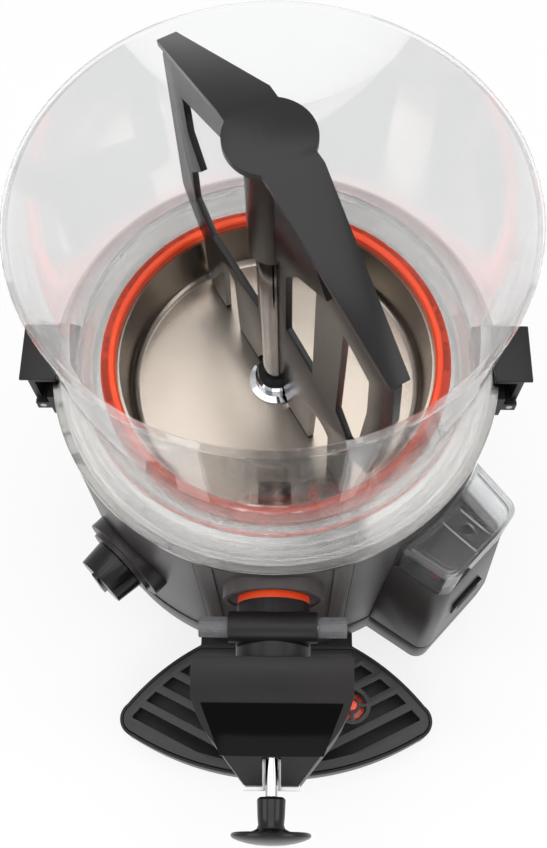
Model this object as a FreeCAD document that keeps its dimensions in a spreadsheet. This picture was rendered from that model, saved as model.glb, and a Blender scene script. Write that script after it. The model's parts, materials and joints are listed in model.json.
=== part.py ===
import FreeCAD, Part
import math
import os
from types import SimpleNamespace

import Sketcher
from FreeCAD import Placement, Rotation, Vector

# Hot chocolate dispenser with a clear five litre bowl, a stirrer and a piston tap.
# Millimetres. +Z is up, the tap faces -Y, and the origin lies on the bowl's axis on the floor.

os.makedirs("parts", exist_ok=True)
doc = FreeCAD.newDocument("dispenser")

# Driving dimensions: name, value, what it is.
# A height runs up from the floor and a reach runs forward from the bowl's axis.
DIMENSIONS = [
    ("foot_height", 30, "rubber foot"),
    ("foot_radius", 14, "foot under the base"),
    ("foot_tip_radius", 11, "foot on the floor"),
    ("foot_spread", 76.4, "foot centres from the axis, along X and Y"),
    ("skirt_height", 32, "base skirt"),
    ("skirt_radius", 140.4, "base skirt outside"),
    ("seam_depth", 1.6, "shadow gap over the skirt"),
    ("seam_height", 2, "height of the shadow gap"),
    ("shell_wall", 3, "wall of the casing and skirt"),
    ("casing_height", 160, "casing, skirt to deck"),
    ("casing_low", 139.6, "casing radius at the skirt"),
    ("casing_top", 137.4, "casing radius at the deck"),
    ("vent_count", 7, "slots in the rear vent"),
    ("vent_pitch", 9, "vent slot spacing"),
    ("vent_slot", 3, "height of a vent slot"),
    ("vent_half", 30, "half width of the vent"),
    ("vent_height", 86, "lowest vent slot"),
    ("panel_half", 46.6, "half width of the front panel"),
    ("panel_gap", 0.4, "joint between panel and casing"),
    ("panel_recess_half", 35.4, "half width of the recessed middle"),
    ("panel_recess", 1.6, "depth of that recess"),
    ("panel_depth", 5, "front panel thickness"),
    ("ring_radius", 30.5, "raised ring round the spout"),
    ("ring_width", 3, "width of that ring"),
    ("ring_reach", 143, "front face of that ring"),
    ("ring_dish", 1.4, "depth of the dish inside the ring"),
    ("deck_thickness", 4, "deck under the bowl"),
    ("deck_radius", 137.8, "deck outside"),
    ("deck_hole", 99, "deck opening for the pan"),
    ("deck_rib", 3, "locating rib under the deck"),
    ("deck_rib_height", 6, "height of that rib"),
    ("deck_rib_gap", 0.4, "rib from the casing wall"),
    ("pan_floor_radius", 93.3, "pan inside at its floor"),
    ("pan_rim_radius", 96.8, "pan inside at its rim"),
    ("pan_depth", 32, "pan floor below the deck's top"),
    ("pan_sheet", 1.2, "pan sheet steel"),
    ("pan_flange", 107, "pan flange outside"),
    ("pan_corner", 5, "corner between pan floor and wall"),
    ("spout_height", 186, "spout axis"),
    ("spout_bore", 13, "spout bore radius"),
    ("spout_radius", 16, "spout outside radius"),
    ("spout_reach", 176, "spout end"),
    ("spout_start", 66, "outlet trough in the pan floor"),
    ("spout_end_wall", 4, "closed back of the trough"),
    ("spout_gap", 0.6, "air round the spout in the panel and jacket"),
    ("gasket_inner", 98.5, "bowl gasket inside"),
    ("gasket_outer", 108, "bowl gasket outside"),
    ("gasket_base", 1.6, "gasket under the bowl floor"),
    ("gasket_lip", 4.2, "height of the gasket's lip"),
    ("gasket_soft", 1, "rounding of that lip"),
    ("bowl_hole", 103, "opening in the bowl floor"),
    ("bowl_floor", 3, "bowl floor"),
    ("bowl_height", 160, "bowl, deck to rim"),
    ("bowl_rim_radius", 129, "bowl rim outside"),
    ("bowl_low_radius", 120.4, "bowl wall outside above its foot"),
    ("bowl_wall", 3, "bowl wall"),
    ("bowl_corner", 6, "width of the bowl's inside corner"),
    ("bowl_bead", 0.8, "bead round the rim"),
    ("bowl_bead_height", 3, "height of the bead"),
    ("bowl_flange", 137.5, "bowl foot outside"),
    ("bowl_flange_height", 3.2, "bowl foot flange"),
    ("bowl_step", 5.5, "width of each step of the bowl foot"),
    ("bowl_step_height", 5, "height of each step"),
    ("shaft_radius", 7.75, "stirrer shaft"),
    ("shaft_fit", 0.08, "running clearance round the shaft"),
    ("shaft_low", 118, "lower end of the shaft"),
    ("shaft_high", 374, "upper end of the shaft"),
    ("shaft_flat", 5.2, "flat at the shaft's upper end, from its axis"),
    ("shaft_flat_height", 22, "length of that flat"),
    ("shaft_air", 1.2, "stirrer blade from the shaft"),
    ("flat_fit", 0.1, "hub from the shaft's flat"),
    ("collar_radius", 13, "chromed collar in the pan"),
    ("collar_height", 12, "height of the collar"),
    ("collar_flange", 17, "collar flange radius"),
    ("collar_flange_height", 2, "collar flange thickness"),
    ("collar_chamfer", 1.5, "collar's top edge"),
    ("seal_radius", 11, "shaft seal outside"),
    ("seal_height", 6, "shaft seal height"),
    ("seal_chamfer", 2, "shaft seal's top edge"),
    ("hub_radius", 12.5, "stirrer hub"),
    ("hub_low", 352, "lower end of the hub"),
    ("hub_top", 436, "top of the stirrer"),
    ("cap_radius", 21.5, "round cap over the hub"),
    ("cap_thickness", 4, "thickness of that cap"),
    ("blade_thickness", 4, "stirrer blade"),
    ("blade_gap", 1.4, "blade feet over the pan floor"),
    ("blade_angle", 300, "blade's right arm, degrees round from +X"),
    ("flange_thickness", 3.2, "stirrer top flange"),
    ("flange_hub_half", 13.5, "half width of the top flange at the hub"),
    ("flange_end_half", 4.6, "half width of the top flange at its ends"),
    ("flange_level", 24, "reach of the level middle of the top flange"),
    ("flange_drop", 38, "fall of the top flange to its ends"),
    ("blade_reach", 106, "blade's top corner from the axis"),
    ("gusset_thickness", 10, "rib beside the hub"),
    ("jacket_radius", 104, "water jacket round the pan"),
    ("jacket_depth", 64, "water jacket below the deck"),
    ("jacket_sheet", 1.5, "water jacket sheet"),
    ("jacket_tube", 20, "tube through the jacket, inside radius"),
    ("heater_radius", 78, "heating element ring"),
    ("heater_rod", 4, "heating element rod radius"),
    ("heater_stud", 3, "terminal stud radius"),
    ("heater_stud_half", 14, "terminal studs from the middle"),
    ("heater_stud_length", 12, "stud below the jacket"),
    ("motor_radius", 27, "motor can"),
    ("motor_height", 44, "motor can height"),
    ("mount_radius", 42, "motor mounting ring"),
    ("mount_height", 5, "motor mounting ring height"),
    ("gearbox_radius", 34, "gearbox housing"),
    ("gearbox_height", 36, "gearbox housing height"),
    ("bearing_radius", 15, "gearbox bearing boss"),
    ("bearing_height", 20, "bearing boss height"),
    ("shaft_end_gap", 0.5, "shaft end over the bottom of its bore"),
    ("terminal_half", 20, "half width of the terminal block"),
    ("terminal_depth", 22, "terminal block depth"),
    ("terminal_height", 17, "terminal block height"),
    ("terminal_back", 95, "back of the terminal block behind the axis"),
    ("inlet_radius", 8, "cable inlet gland through the casing"),
    ("inlet_flange", 11, "gland flange"),
    ("inlet_bore", 4, "gland bore"),
    ("inlet_height", 74, "gland axis"),
    ("inlet_proud", 5, "gland flange thickness"),
    ("washer_radius", 21.5, "spout gasket outside"),
    ("washer_length", 4.4, "spout gasket length"),
    ("neck_radius", 22, "tap neck outside"),
    ("neck_fit", 0.15, "neck from the spout"),
    ("neck_reach", 190, "front of the neck"),
    ("chamber_reach", 204, "tap chamber axis"),
    ("chamber_radius", 20, "tap chamber outside"),
    ("chamber_low", 148, "chamber floor"),
    ("chamber_high", 196, "chamber top"),
    ("duct_radius", 6.5, "duct from the neck to the chamber"),
    ("duct_height", 173, "duct axis"),
    ("piston_radius", 14, "piston"),
    ("piston_fit", 0.08, "piston in its chamber"),
    ("piston_seat", 164, "piston's lower end when shut"),
    ("piston_length", 16, "piston body"),
    ("piston_waist", 4, "piston waist radius"),
    ("piston_waist_length", 11.1, "piston waist"),
    ("piston_head", 7, "piston head radius"),
    ("piston_head_height", 2.2, "piston head"),
    ("ring_groove", 2, "depth of the piston's ring groove"),
    ("ring_groove_height", 2.4, "height of that groove"),
    ("ring_groove_low", 11, "groove above the piston's lower end"),
    ("outlet_radius", 13, "outlet outside, at its end"),
    ("outlet_flare", 4, "outlet's widening to the chamber"),
    ("outlet_bore", 9, "outlet bore"),
    ("outlet_low", 128, "lower end of the outlet"),
    ("saddle_radius", 9, "cross pin housing"),
    ("saddle_half", 25.5, "half length of the cross pin housing"),
    ("saddle_reach", 163, "cross pin axis"),
    ("saddle_height", 204.6, "cross pin axis height"),
    ("pin_radius", 3.6, "cross pin"),
    ("pin_fit", 0.1, "cross pin in its housing"),
    ("pin_flat", 2.3, "cross pin's flat from its axis"),
    ("grip_radius", 5.9, "grip of the cross pin"),
    ("grip_length", 17, "length of a grip"),
    ("grip_gap", 0.3, "grip from the housing"),
    ("grip_end", 4, "grip beyond the pin's end"),
    ("hood_back", 181, "hood's back edge"),
    ("hood_reach", 248, "hood's front"),
    ("hood_half", 45.8, "half width of the hood"),
    ("hood_nose_half", 15, "half width of the hood at its front"),
    ("hood_side", 202, "where the hood's sides turn in"),
    ("hood_knee", 226, "where the hood's front corners end"),
    ("hood_knee_half", 32.8, "half width there"),
    ("hood_curve", 60, "radius of the hood's corners"),
    ("hood_top", 213, "hood top"),
    ("hood_fall", 24, "fall of the hood's top to its front"),
    ("hood_low", 152, "hood's lower edge"),
    ("hood_wall", 2.6, "hood wall"),
    ("hood_shoulder", 190, "where the hood's top starts to fall"),
    ("hood_post", 17, "hood posts from the middle"),
    ("hood_post_radius", 2.4, "hood post"),
    ("slot_half", 5.2, "half width of the lever slot"),
    ("slot_start", 233.4, "back of the lever slot"),
    ("bracket_gap", 0.3, "lever bracket from the hood's nose"),
    ("plate_thickness", 0.8, "bare plate on the hood"),
    ("plate_back", 206, "bare plate's back edge"),
    ("plate_back_half", 40, "half width there"),
    ("plate_front", 233, "bare plate's front edge"),
    ("plate_front_half", 29, "half width there"),
    ("lever_height", 188, "lever axis"),
    ("lever_reach", 229, "lever pivot"),
    ("lever_radius", 3.4, "lever rod"),
    ("eye_radius", 5, "lever eye"),
    ("ear_rise", 3.4, "bracket ear over the lever axis"),
    ("eye_half", 6.5, "half width of the lever eye"),
    ("pivot_radius", 2.4, "lever pivot pin"),
    ("pivot_fit", 0.08, "lever eye on its pin"),
    ("ear_gap", 0.5, "bracket ear from the lever eye"),
    ("ear_thickness", 3, "bracket ear"),
    ("fork_half", 6.3, "half width of the lever's fork"),
    ("fork_gap", 0.4, "fork from the piston's waist"),
    ("fork_thickness", 3, "fork thickness"),
    ("fork_drop", 0.8, "fork below the lever axis"),
    ("fork_end", 202, "fork's far end"),
    ("bracket_front", 250, "lever bracket's front"),
    ("bracket_back", 215, "lever bracket's back"),
    ("bracket_half", 16, "half width of the lever bracket"),
    ("bracket_low", 176, "lever bracket's underside"),
    ("bracket_slot", 238, "back of the bracket's slot"),
    ("knob_stem", 8, "lever knob stem radius"),
    ("knob_back", 254, "knob stem's back"),
    ("knob_disc_back", 272, "knob disc's back"),
    ("knob_disc", 22.2, "knob disc radius"),
    ("knob_edge", 2.2, "thickness of the disc's edge"),
    ("knob_crown", 12, "flat middle of the knob's domed face"),
    ("knob_front", 280, "knob's front"),
    ("knob_socket", 8, "lever rod in the knob"),
    ("tray_height", 28, "drip tray rim"),
    ("tray_low", 1.5, "drip tray underside"),
    ("tray_wall", 2.4, "drip tray wall"),
    ("neck_half", 56.2, "half width of the tray's neck"),
    ("tray_back", 138, "where the neck meets the tray"),
    ("neck_back", 98, "back end of the neck"),
    ("neck_low", 15, "underside of the neck"),
    ("neck_window", 20, "rim of the neck beside its opening"),
    ("tray_wide_half", 108, "tray's widest corner, back"),
    ("tray_wide_back", 181, "that corner's reach"),
    ("tray_tip_half", 104.5, "tray's widest corner, front"),
    ("tray_tip_front", 203.4, "that corner's reach"),
    ("tray_back_curve", 166, "curve of the tray's back edges"),
    ("tray_tip_curve", 13, "curve of the tray's tips"),
    ("tray_front_curve", 210, "curve of the tray's front"),
    ("rail_gap", 0.35, "tray's clearance in its rails"),
    ("rail_wall", 3, "tray rail"),
    ("rail_lip", 6, "lip under the tray's neck"),
    ("rail_front", 124, "front end of the rails"),
    ("grille_sheet", 3, "tray grille"),
    ("grille_gap", 0.3, "grille from the tray wall"),
    ("grille_ledge", 2, "ledge that carries the grille"),
    ("grille_margin", 9, "solid rim of the grille"),
    ("grille_slot", 9, "width of a grille slot"),
    ("grille_pitch", 14.8, "spacing of the slots"),
    ("grille_rows", 5, "slots on each side"),
    ("grille_first", 153.5, "first slot from the bowl's axis, across the slots"),
    ("grille_slant", 26, "slant of the slots, degrees"),
    ("grille_rib", 5, "half width of the grille's middle rib"),
    ("float_x", 55.3, "float beside the tap"),
    ("float_reach", 180.6, "float in front of the axis"),
    ("float_window", 10.5, "float window in the grille"),
    ("float_rim", 3, "rim of that window"),
    ("float_radius", 9.6, "float disc"),
    ("float_height", 5, "float disc height"),
    ("float_low", 13, "float disc's underside when the tray is empty"),
    ("float_stem", 3.8, "float stem"),
    ("float_fit", 0.4, "float stem in its guide"),
    ("float_sink", 0.5, "float stem below the grille's top"),
    ("spoke_half", 1.2, "half width of a spoke"),
    ("spoke_hub", 5.8, "ring round the float stem"),
    ("pillar_radius", 2, "float's pillar on the tray floor"),
    ("column_back", 118, "tank column's hidden back"),
    ("column_half", 47, "half width at the casing, at the bottom"),
    ("column_nose", 37.5, "half width at the outer face, at the bottom"),
    ("column_reach", 177.5, "outer face, at the bottom"),
    ("column_draft", 7, "how far each side draws in to the top"),
    ("column_corner", 10, "corner radius of the column"),
    ("column_wall", 3, "wall of the column"),
    ("column_high", 174, "top of the dark column"),
    ("tank_high", 212, "top of the clear tank"),
    ("tank_wall", 2.2, "clear tank wall"),
    ("tank_gap", 1, "clear tank from the bowl foot"),
    ("lid_thickness", 2.4, "tank lid"),
    ("lid_lip", 5, "height of the lid's inner lip"),
    ("lip_wall", 1.6, "wall of that lip"),
    ("lid_fit", 0.35, "lip from the tank"),
    ("lid_line", 4, "raised line from the lid's edge"),
    ("lid_line_width", 1.4, "width of the raised line"),
    ("lid_line_height", 0.8, "height of the raised line"),
    ("handle_low", 143.5, "lid handle's inner end"),
    ("handle_high", 168, "lid handle's outer end"),
    ("handle_half", 7.5, "half width of the lid handle"),
    ("handle_wall", 1.6, "wall of the lid handle"),
    ("handle_height", 3, "height of the lid handle"),
    ("lid_hole", 3.6, "hole in the lid handle"),
    ("lid_hole_reach", 155.5, "reach of that hole"),
    ("tank_azimuth", 47, "tank, degrees round from the front"),
    ("switch_half_wide", 13.5, "half width of the main switch"),
    ("switch_half_tall", 10, "half height of the main switch"),
    ("switch_height", 110, "main switch centre"),
    ("switch_reach", 176.6, "main switch frame's front"),
    ("switch_depth", 14.3, "main switch frame, front to back"),
    ("switch_gap", 0.2, "switch frame in its seat"),
    ("switch_bezel", 2.6, "width of the switch frame"),
    ("rocker_radius", 7, "rocker's round body"),
    ("rocker_half", 10.3, "half width of the rocker"),
    ("rocker_reach", 170.6, "rocker's axis"),
    ("rocker_notch", 5.4, "rocker's notch from its axis"),
    ("dial_azimuth", 316, "thermostat knob, degrees round from the front"),
    ("dial_height", 135, "thermostat knob axis"),
    ("bezel_radius", 31, "plate behind the thermostat knob"),
    ("bezel_step", 25, "raised middle of that plate"),
    ("bezel_reach", 144.6, "plate's front"),
    ("bezel_step_reach", 147.4, "raised middle's front"),
    ("dial_radius", 19.4, "thermostat knob"),
    ("dial_top_radius", 17.6, "thermostat knob at its face"),
    ("dial_back", 148, "thermostat knob's back"),
    ("dial_depth", 17, "thermostat knob depth"),
    ("dial_grip", 2.5, "half width of the knob's grip"),
    ("dial_grip_proud", 2, "grip in front of the knob"),
    ("spindle_radius", 3, "thermostat spindle"),
    ("spindle_fit", 0.08, "spindle in its bush"),
    ("spindle_back", 113, "spindle's inner end"),
    ("spindle_in_knob", 10, "spindle inside the knob"),
    ("bush_radius", 7, "thermostat bush"),
    ("bush_gap", 0.3, "bush in the casing"),
    ("bush_reach", 138, "bush's front"),
    ("shoulder_radius", 10, "bush shoulder behind the casing"),
    ("shoulder_reach", 135, "shoulder's front"),
    ("thermostat_half", 16, "half size of the thermostat case"),
    ("thermostat_reach", 117.5, "thermostat case's front"),
    ("thermostat_back", 96, "thermostat case's back"),
    ("latch_half", 19, "half width of a bowl latch"),
    ("latch_wall", 4, "bowl latch thickness"),
    ("latch_height", 203, "bowl latch pivot"),
    ("latch_reach", 147, "bowl latch pivot from the axis"),
    ("latch_tip", 133.5, "hook's inner edge from the axis"),
    ("latch_gap", 0.3, "hook over the bowl's foot"),
    ("latch_tab", 5, "finger tab of a latch"),
    ("latch_pin", 2, "bowl latch pin"),
    ("latch_fit", 0.08, "bowl latch on its pin"),
    ("latch_side", 0.4, "latch from its bracket's ears"),
    ("latch_plate", 142.4, "bracket plate's outer face"),
    ("latch_plate_half", 12, "half height of the bracket plate"),
]

sheet = doc.addObject("Spreadsheet::Sheet", "dims")
for row, (alias, value, meaning) in enumerate(DIMENSIONS, start=1):
    sheet.set(f"A{row}", alias)
    sheet.set(f"B{row}", str(value))
    sheet.set(f"C{row}", meaning)
    sheet.setAlias(f"B{row}", alias)
doc.recompute()


class Size:
    """A length with the spreadsheet expression that gives it."""

    def __init__(self, value, text):
        self.value = value
        self.text = text

    def __add__(self, other):
        other = size(other)
        return Size(self.value + other.value, f"({self.text} + {other.text})")

    def __sub__(self, other):
        other = size(other)
        return Size(self.value - other.value, f"({self.text} - {other.text})")

    def __mul__(self, factor):
        factor = size(factor)
        return Size(self.value * factor.value, f"({self.text} * {factor.text})")

    def __neg__(self):
        return Size(-self.value, f"(0 - {self.text})")

    def __rsub__(self, other):
        return size(other) - self

    __radd__ = __add__
    __rmul__ = __mul__


def size(number):
    """Give a plain number the same form as a named size."""
    return number if isinstance(number, Size) else Size(float(number), f"({number:.10g})")


d = SimpleNamespace(**{alias: Size(float(value), f"dims.{alias}") for alias, value, _ in DIMENSIONS})

# Levels that several pieces share.
BASE = d.foot_height
CASING = BASE + d.skirt_height
DECK_LOW = CASING + d.casing_height
DECK = DECK_LOW + d.deck_thickness
PAN_FLOOR = DECK - d.pan_depth
PAN_TOP = DECK + d.pan_sheet
BOWL_UNDER = PAN_TOP + d.gasket_base
BOWL_FLOOR = BOWL_UNDER + d.bowl_floor
RIM = DECK + d.bowl_height
WASHER = d.ring_reach - d.ring_dish
NECK = WASHER + d.washer_length
MARGIN = 1
FAR = 400

finished = []


def bind(thing, prop, amount):
    """Tie a property to a size."""
    thing.setExpression(prop, size(amount).text)


def place(thing, x, y, z, rotation=None):
    """Put a primitive at sizes, after turning it."""
    spot = [size(x), size(y), size(z)]
    thing.Placement = Placement(Vector(*[amount.value for amount in spot]), rotation or Rotation())
    for axis, amount in zip("xyz", spot):
        bind(thing, f"Placement.Base.{axis}", amount)
    return thing


ALONG_X = Rotation(Vector(0, 1, 0), 90)
ALONG_FRONT = Rotation(Vector(1, 0, 0), 90)


def cylinder(radius, height, x=0, y=0, z=0, rotation=None):
    thing = doc.addObject("Part::Cylinder", "Cylinder")
    bind(thing, "Radius", radius)
    bind(thing, "Height", height)
    return place(thing, x, y, z, rotation)


def forward(radius, start, end, height, x=0):
    """A cylinder that points forward, between two reaches."""
    return cylinder(radius, size(end) - start, x, -size(start), height, ALONG_FRONT)


def across(radius, half, reach, height):
    """A cylinder from side to side."""
    return cylinder(radius, half * 2, -half, -reach, height, ALONG_X)


def cone(radius_low, radius_high, height, x=0, y=0, z=0, rotation=None):
    thing = doc.addObject("Part::Cone", "Cone")
    bind(thing, "Radius1", radius_low)
    bind(thing, "Radius2", radius_high)
    bind(thing, "Height", height)
    return place(thing, x, y, z, rotation)


def block(x_low, x_high, y_low, y_high, z_low, z_high):
    """A box between two corners."""
    thing = doc.addObject("Part::Box", "Box")
    bind(thing, "Length", size(x_high) - x_low)
    bind(thing, "Width", size(y_high) - y_low)
    bind(thing, "Height", size(z_high) - z_low)
    return place(thing, x_low, y_low, z_low)


def slab(half, front, back, z_low, z_high):
    """A box about the middle plane, between two reaches."""
    return block(-size(half), half, -size(front), -size(back), z_low, z_high)


def torus(ring_radius, rod_radius, z):
    thing = doc.addObject("Part::Torus", "Torus")
    bind(thing, "Radius1", ring_radius)
    bind(thing, "Radius2", rod_radius)
    return place(thing, 0, 0, z)


def fuse(*pieces):
    thing = doc.addObject("Part::MultiFuse", "Fuse")
    thing.Shapes = list(pieces)
    return thing


def cut(base, *tools):
    """Take each tool from a shape, one after the other."""
    for tool in tools:
        thing = doc.addObject("Part::Cut", "Cut")
        thing.Base = base
        thing.Tool = tool
        base = thing
    return base


def common(*pieces):
    thing = doc.addObject("Part::MultiCommon", "Common")
    thing.Shapes = list(pieces)
    return thing


def group(*pieces):
    thing = doc.addObject("Part::Compound", "Group")
    thing.Links = list(pieces)
    return thing


def swing(thing, degrees):
    """Turn a finished shape about the bowl's axis, anticlockwise seen from above."""
    thing.Placement = Placement(Vector(), Rotation(Vector(0, 0, 1), size(degrees).value))
    bind(thing, "Placement.Rotation.Angle", degrees)
    return thing


def keep(label, thing):
    """Name a finished sub-part."""
    thing.Label = label
    finished.append(thing)


def new_sketch(body, plane, offset=0):
    """A sketch on one of the body's own origin planes, moved along its normal."""
    origin = next(item for item in body.Origin.OriginFeatures if item.Role == plane)
    sketch = body.newObject("Sketcher::SketchObject", "Sketch")
    sketch.AttachmentSupport = [(origin, "")]
    sketch.MapMode = "FlatFace"
    bind(sketch, "AttachmentOffset.Base.z", offset)
    return sketch


def arc_between(start, end, radius, turn):
    """The short arc from start to end; turn is +1 for anticlockwise and -1 for clockwise."""
    chord = end - start
    height = math.sqrt(radius**2 - (chord.Length / 2) ** 2)
    side = Vector(-chord.y, chord.x, 0).normalize() * turn
    centre = (start + end) * 0.5 + side * height
    first, last = (start, end) if turn > 0 else (end, start)
    angles = [math.atan2(point.y - centre.y, point.x - centre.x) for point in (first, last)]
    return Part.ArcOfCircle(Part.Circle(centre, Vector(0, 0, 1), radius), *angles)


def add_loop(sketch, corners):
    """Draw a closed outline. A corner is x, y and, where an arc follows it, radius and turn."""
    base = sketch.GeometryCount
    points = [Vector(size(corner[0]).value, size(corner[1]).value, 0) for corner in corners]
    shapes = []
    ends = []
    for i, corner in enumerate(corners):
        start, end = points[i], points[(i + 1) % len(points)]
        if len(corner) == 2:
            shapes.append(Part.LineSegment(start, end))
            ends.append((1, 2))
        else:
            shapes.append(arc_between(start, end, size(corner[2]).value, corner[3]))
            ends.append((1, 2) if corner[3] > 0 else (2, 1))
    sketch.addGeometry(shapes, False)
    rules = []
    for i, corner in enumerate(corners):
        here, before = base + i, base + (i - 1) % len(corners)
        first = ends[i][0]
        rules.append((Sketcher.Constraint("Coincident", before, ends[i - 1][1], here, first), None))
        for kind, amount, axis in (("DistanceX", size(corner[0]), -2), ("DistanceY", size(corner[1]), -1)):
            if abs(amount.value) < 1e-9:
                rules.append((Sketcher.Constraint("PointOnObject", here, first, axis), None))
            else:
                rules.append((Sketcher.Constraint(kind, -1, 1, here, first, amount.value), amount.text))
        if len(corner) > 2:
            radius = size(corner[2])
            rules.append((Sketcher.Constraint("Radius", here, radius.value), radius.text))
    start_index = sketch.ConstraintCount
    sketch.addConstraint([rule for rule, _ in rules])
    for i, (_, text) in enumerate(rules):
        if text and "dims" in text:
            sketch.setExpression(f"Constraints[{start_index + i}]", text)
    return sketch


def new_body():
    return doc.addObject("PartDesign::Body", "Body")


def revolved(corners):
    """A body turned about Z from radius and height corners."""
    body = new_body()
    sketch = add_loop(new_sketch(body, "XZ_Plane"), corners)
    turned = body.newObject("PartDesign::Revolution", "Revolution")
    turned.Profile = sketch
    turned.ReferenceAxis = (sketch, ["V_Axis"])
    turned.Angle = 360
    return body


def padded(plane, loops, low, high):
    """A body pushed out from outlines on an origin plane, from low to high along its normal."""
    body = new_body()
    sketch = new_sketch(body, plane, low)
    for corners in loops:
        add_loop(sketch, corners)
    pad = body.newObject("PartDesign::Pad", "Pad")
    pad.Profile = sketch
    bind(pad, "Length", size(high) - low)
    return body


def lofted(low_corners, low, high_corners, high):
    """A body drawn between two level outlines."""
    body = new_body()
    bottom = add_loop(new_sketch(body, "XY_Plane", low), low_corners)
    top = add_loop(new_sketch(body, "XY_Plane", high), high_corners)
    loft = body.newObject("PartDesign::AdditiveLoft", "Loft")
    loft.Profile = bottom
    loft.Sections = [top]
    loft.Ruled = True
    return body


def casing_cone():
    """The space inside the casing's outer face."""
    return cone(d.casing_low, d.casing_top, d.casing_height, z=CASING)


# Base and feet
def make_feet():
    feet = []
    for side in (-1, 1):
        for end in (-1, 1):
            x, y = d.foot_spread * side, d.foot_spread * end
            feet.append(cone(d.foot_tip_radius, d.foot_radius, d.foot_height, x, y))
    keep("rubber_feet", group(*feet))


def column_outline(draft, wall=0):
    """Outline of the tank column with rounded outer corners, drawn at the front."""
    inset = draft + wall
    corner = d.column_corner - wall
    slope = math.atan2(d.column_half.value - d.column_nose.value,
                       d.column_reach.value - d.column_back.value)
    tangent = corner * math.tan((math.pi / 2 - slope) / 2)
    half, nose = d.column_half - inset, d.column_nose - inset
    back, reach = d.column_back - inset, d.column_reach - inset
    side = nose + tangent * math.sin(slope)
    shoulder = reach - tangent * math.cos(slope)
    return [
        (-half, -back),
        (-side, -shoulder, corner, 1),
        (-(nose - tangent), -reach),
        (nose - tangent, -reach, corner, 1),
        (side, -shoulder),
        (half, -back),
    ]


def column_piece(low, high, draft, wall=0):
    """An upright piece of the tank column."""
    return padded("XY_Plane", [column_outline(draft, wall)], low, high)


def make_base():
    """Skirt with a floor, a shadow gap, a lobe under the tank and two rails for the tray's neck."""
    wall = d.skirt_radius - d.shell_wall
    seam = d.skirt_radius - d.seam_depth
    ledge = seam - d.shell_wall * 2
    shell = revolved([
        (0, BASE),
        (d.skirt_radius, BASE),
        (d.skirt_radius, CASING - d.seam_height),
        (seam, CASING - d.seam_height),
        (seam, CASING),
        (ledge, CASING),
        (ledge, CASING - d.shell_wall),
        (wall, CASING - d.shell_wall),
        (wall, BASE + d.shell_wall),
        (0, BASE + d.shell_wall),
    ])
    lobe = column_piece(BASE, CASING - d.seam_height, size(0))
    step = column_piece(CASING - d.seam_height, CASING, size(0), d.seam_depth)
    lobe = cut(fuse(lobe, step), cylinder(seam - d.seam_depth, d.skirt_height + MARGIN, z=BASE))
    rails = []
    inner = d.neck_half + d.rail_gap
    low = d.neck_low - d.rail_gap - d.rail_wall
    for side in (-1, 1):
        near, far, tip = inner * side, (inner + d.rail_wall) * side, (inner - d.rail_lip) * side
        x_wall = (near, far) if side > 0 else (far, near)
        x_lip = (tip, far) if side > 0 else (far, tip)
        rails.append(block(*x_wall, -d.rail_front, -d.neck_back, low, BASE))
        rails.append(block(*x_lip, -d.rail_front, -d.neck_back, low, low + d.rail_wall))
    keep("base_plate", fuse(shell, swing(lobe, d.tank_azimuth)))
    keep("tray_rails", group(fuse(*rails[:2]), fuse(*rails[2:])))


# Casing, panel and deck
def make_casing():
    shell = revolved([
        (d.casing_low, CASING),
        (d.casing_top, DECK_LOW),
        (d.casing_top - d.shell_wall, DECK_LOW),
        (d.casing_low - d.shell_wall, CASING),
    ])
    front = slab(d.panel_half + d.panel_gap, FAR, d.deck_hole, CASING - MARGIN, DECK_LOW + MARGIN)
    bush = forward(d.bush_radius + d.bush_gap, d.thermostat_reach, FAR, d.dial_height)
    vents = []
    for i in range(int(d.vent_count.value)):
        low = d.vent_height + d.vent_pitch * i
        vents.append(block(-d.vent_half, d.vent_half, d.deck_hole, FAR, low, low + d.vent_slot))
    inlet = forward(d.inlet_radius, -size(FAR), -d.deck_hole, d.inlet_height)
    keep("body_casing", cut(shell, front, swing(group(bush), d.dial_azimuth), inlet, *vents))


def make_front_panel():
    """Upright panel with a recessed middle, side strips and a ring round the spout."""
    low, top = d.casing_low + d.panel_gap, d.casing_top + d.panel_gap
    shell = revolved([
        (low, CASING),
        (top, DECK_LOW),
        (top - d.panel_depth, DECK_LOW),
        (low - d.panel_depth, CASING),
    ])
    face = cone(low - d.panel_recess, top - d.panel_recess, d.casing_height, z=CASING)
    middle = cut(slab(d.panel_recess_half, FAR, d.deck_hole, CASING - MARGIN, DECK_LOW + MARGIN), face)
    strip = slab(d.panel_half, FAR, d.deck_hole, CASING, DECK_LOW)
    rib = d.casing_top - d.shell_wall
    rib_low = DECK_LOW - d.deck_rib_height - d.deck_rib_gap
    panel = cut(common(shell, strip), middle, cylinder(rib, d.casing_height, z=rib_low))
    ring = forward(d.ring_radius, d.deck_hole, d.ring_reach, d.spout_height)
    ring = cut(ring, cylinder(d.casing_top - d.panel_depth + d.deck_rib, FAR))
    dish = forward(d.ring_radius - d.ring_width, WASHER, FAR, d.spout_height)
    bore = forward(d.spout_radius + d.spout_gap, d.deck_hole, FAR, d.spout_height)
    keep("front_panel", cut(fuse(panel, ring), dish, bore))


def make_deck():
    rib = d.casing_top - d.shell_wall - d.deck_rib_gap
    keep("bowl_deck", revolved([
        (d.deck_hole, DECK_LOW),
        (rib - d.deck_rib, DECK_LOW),
        (rib - d.deck_rib, DECK_LOW - d.deck_rib_height),
        (rib, DECK_LOW - d.deck_rib_height),
        (rib, DECK_LOW),
        (d.deck_radius, DECK_LOW),
        (d.deck_radius, DECK),
        (d.deck_hole, DECK),
    ]))


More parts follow.
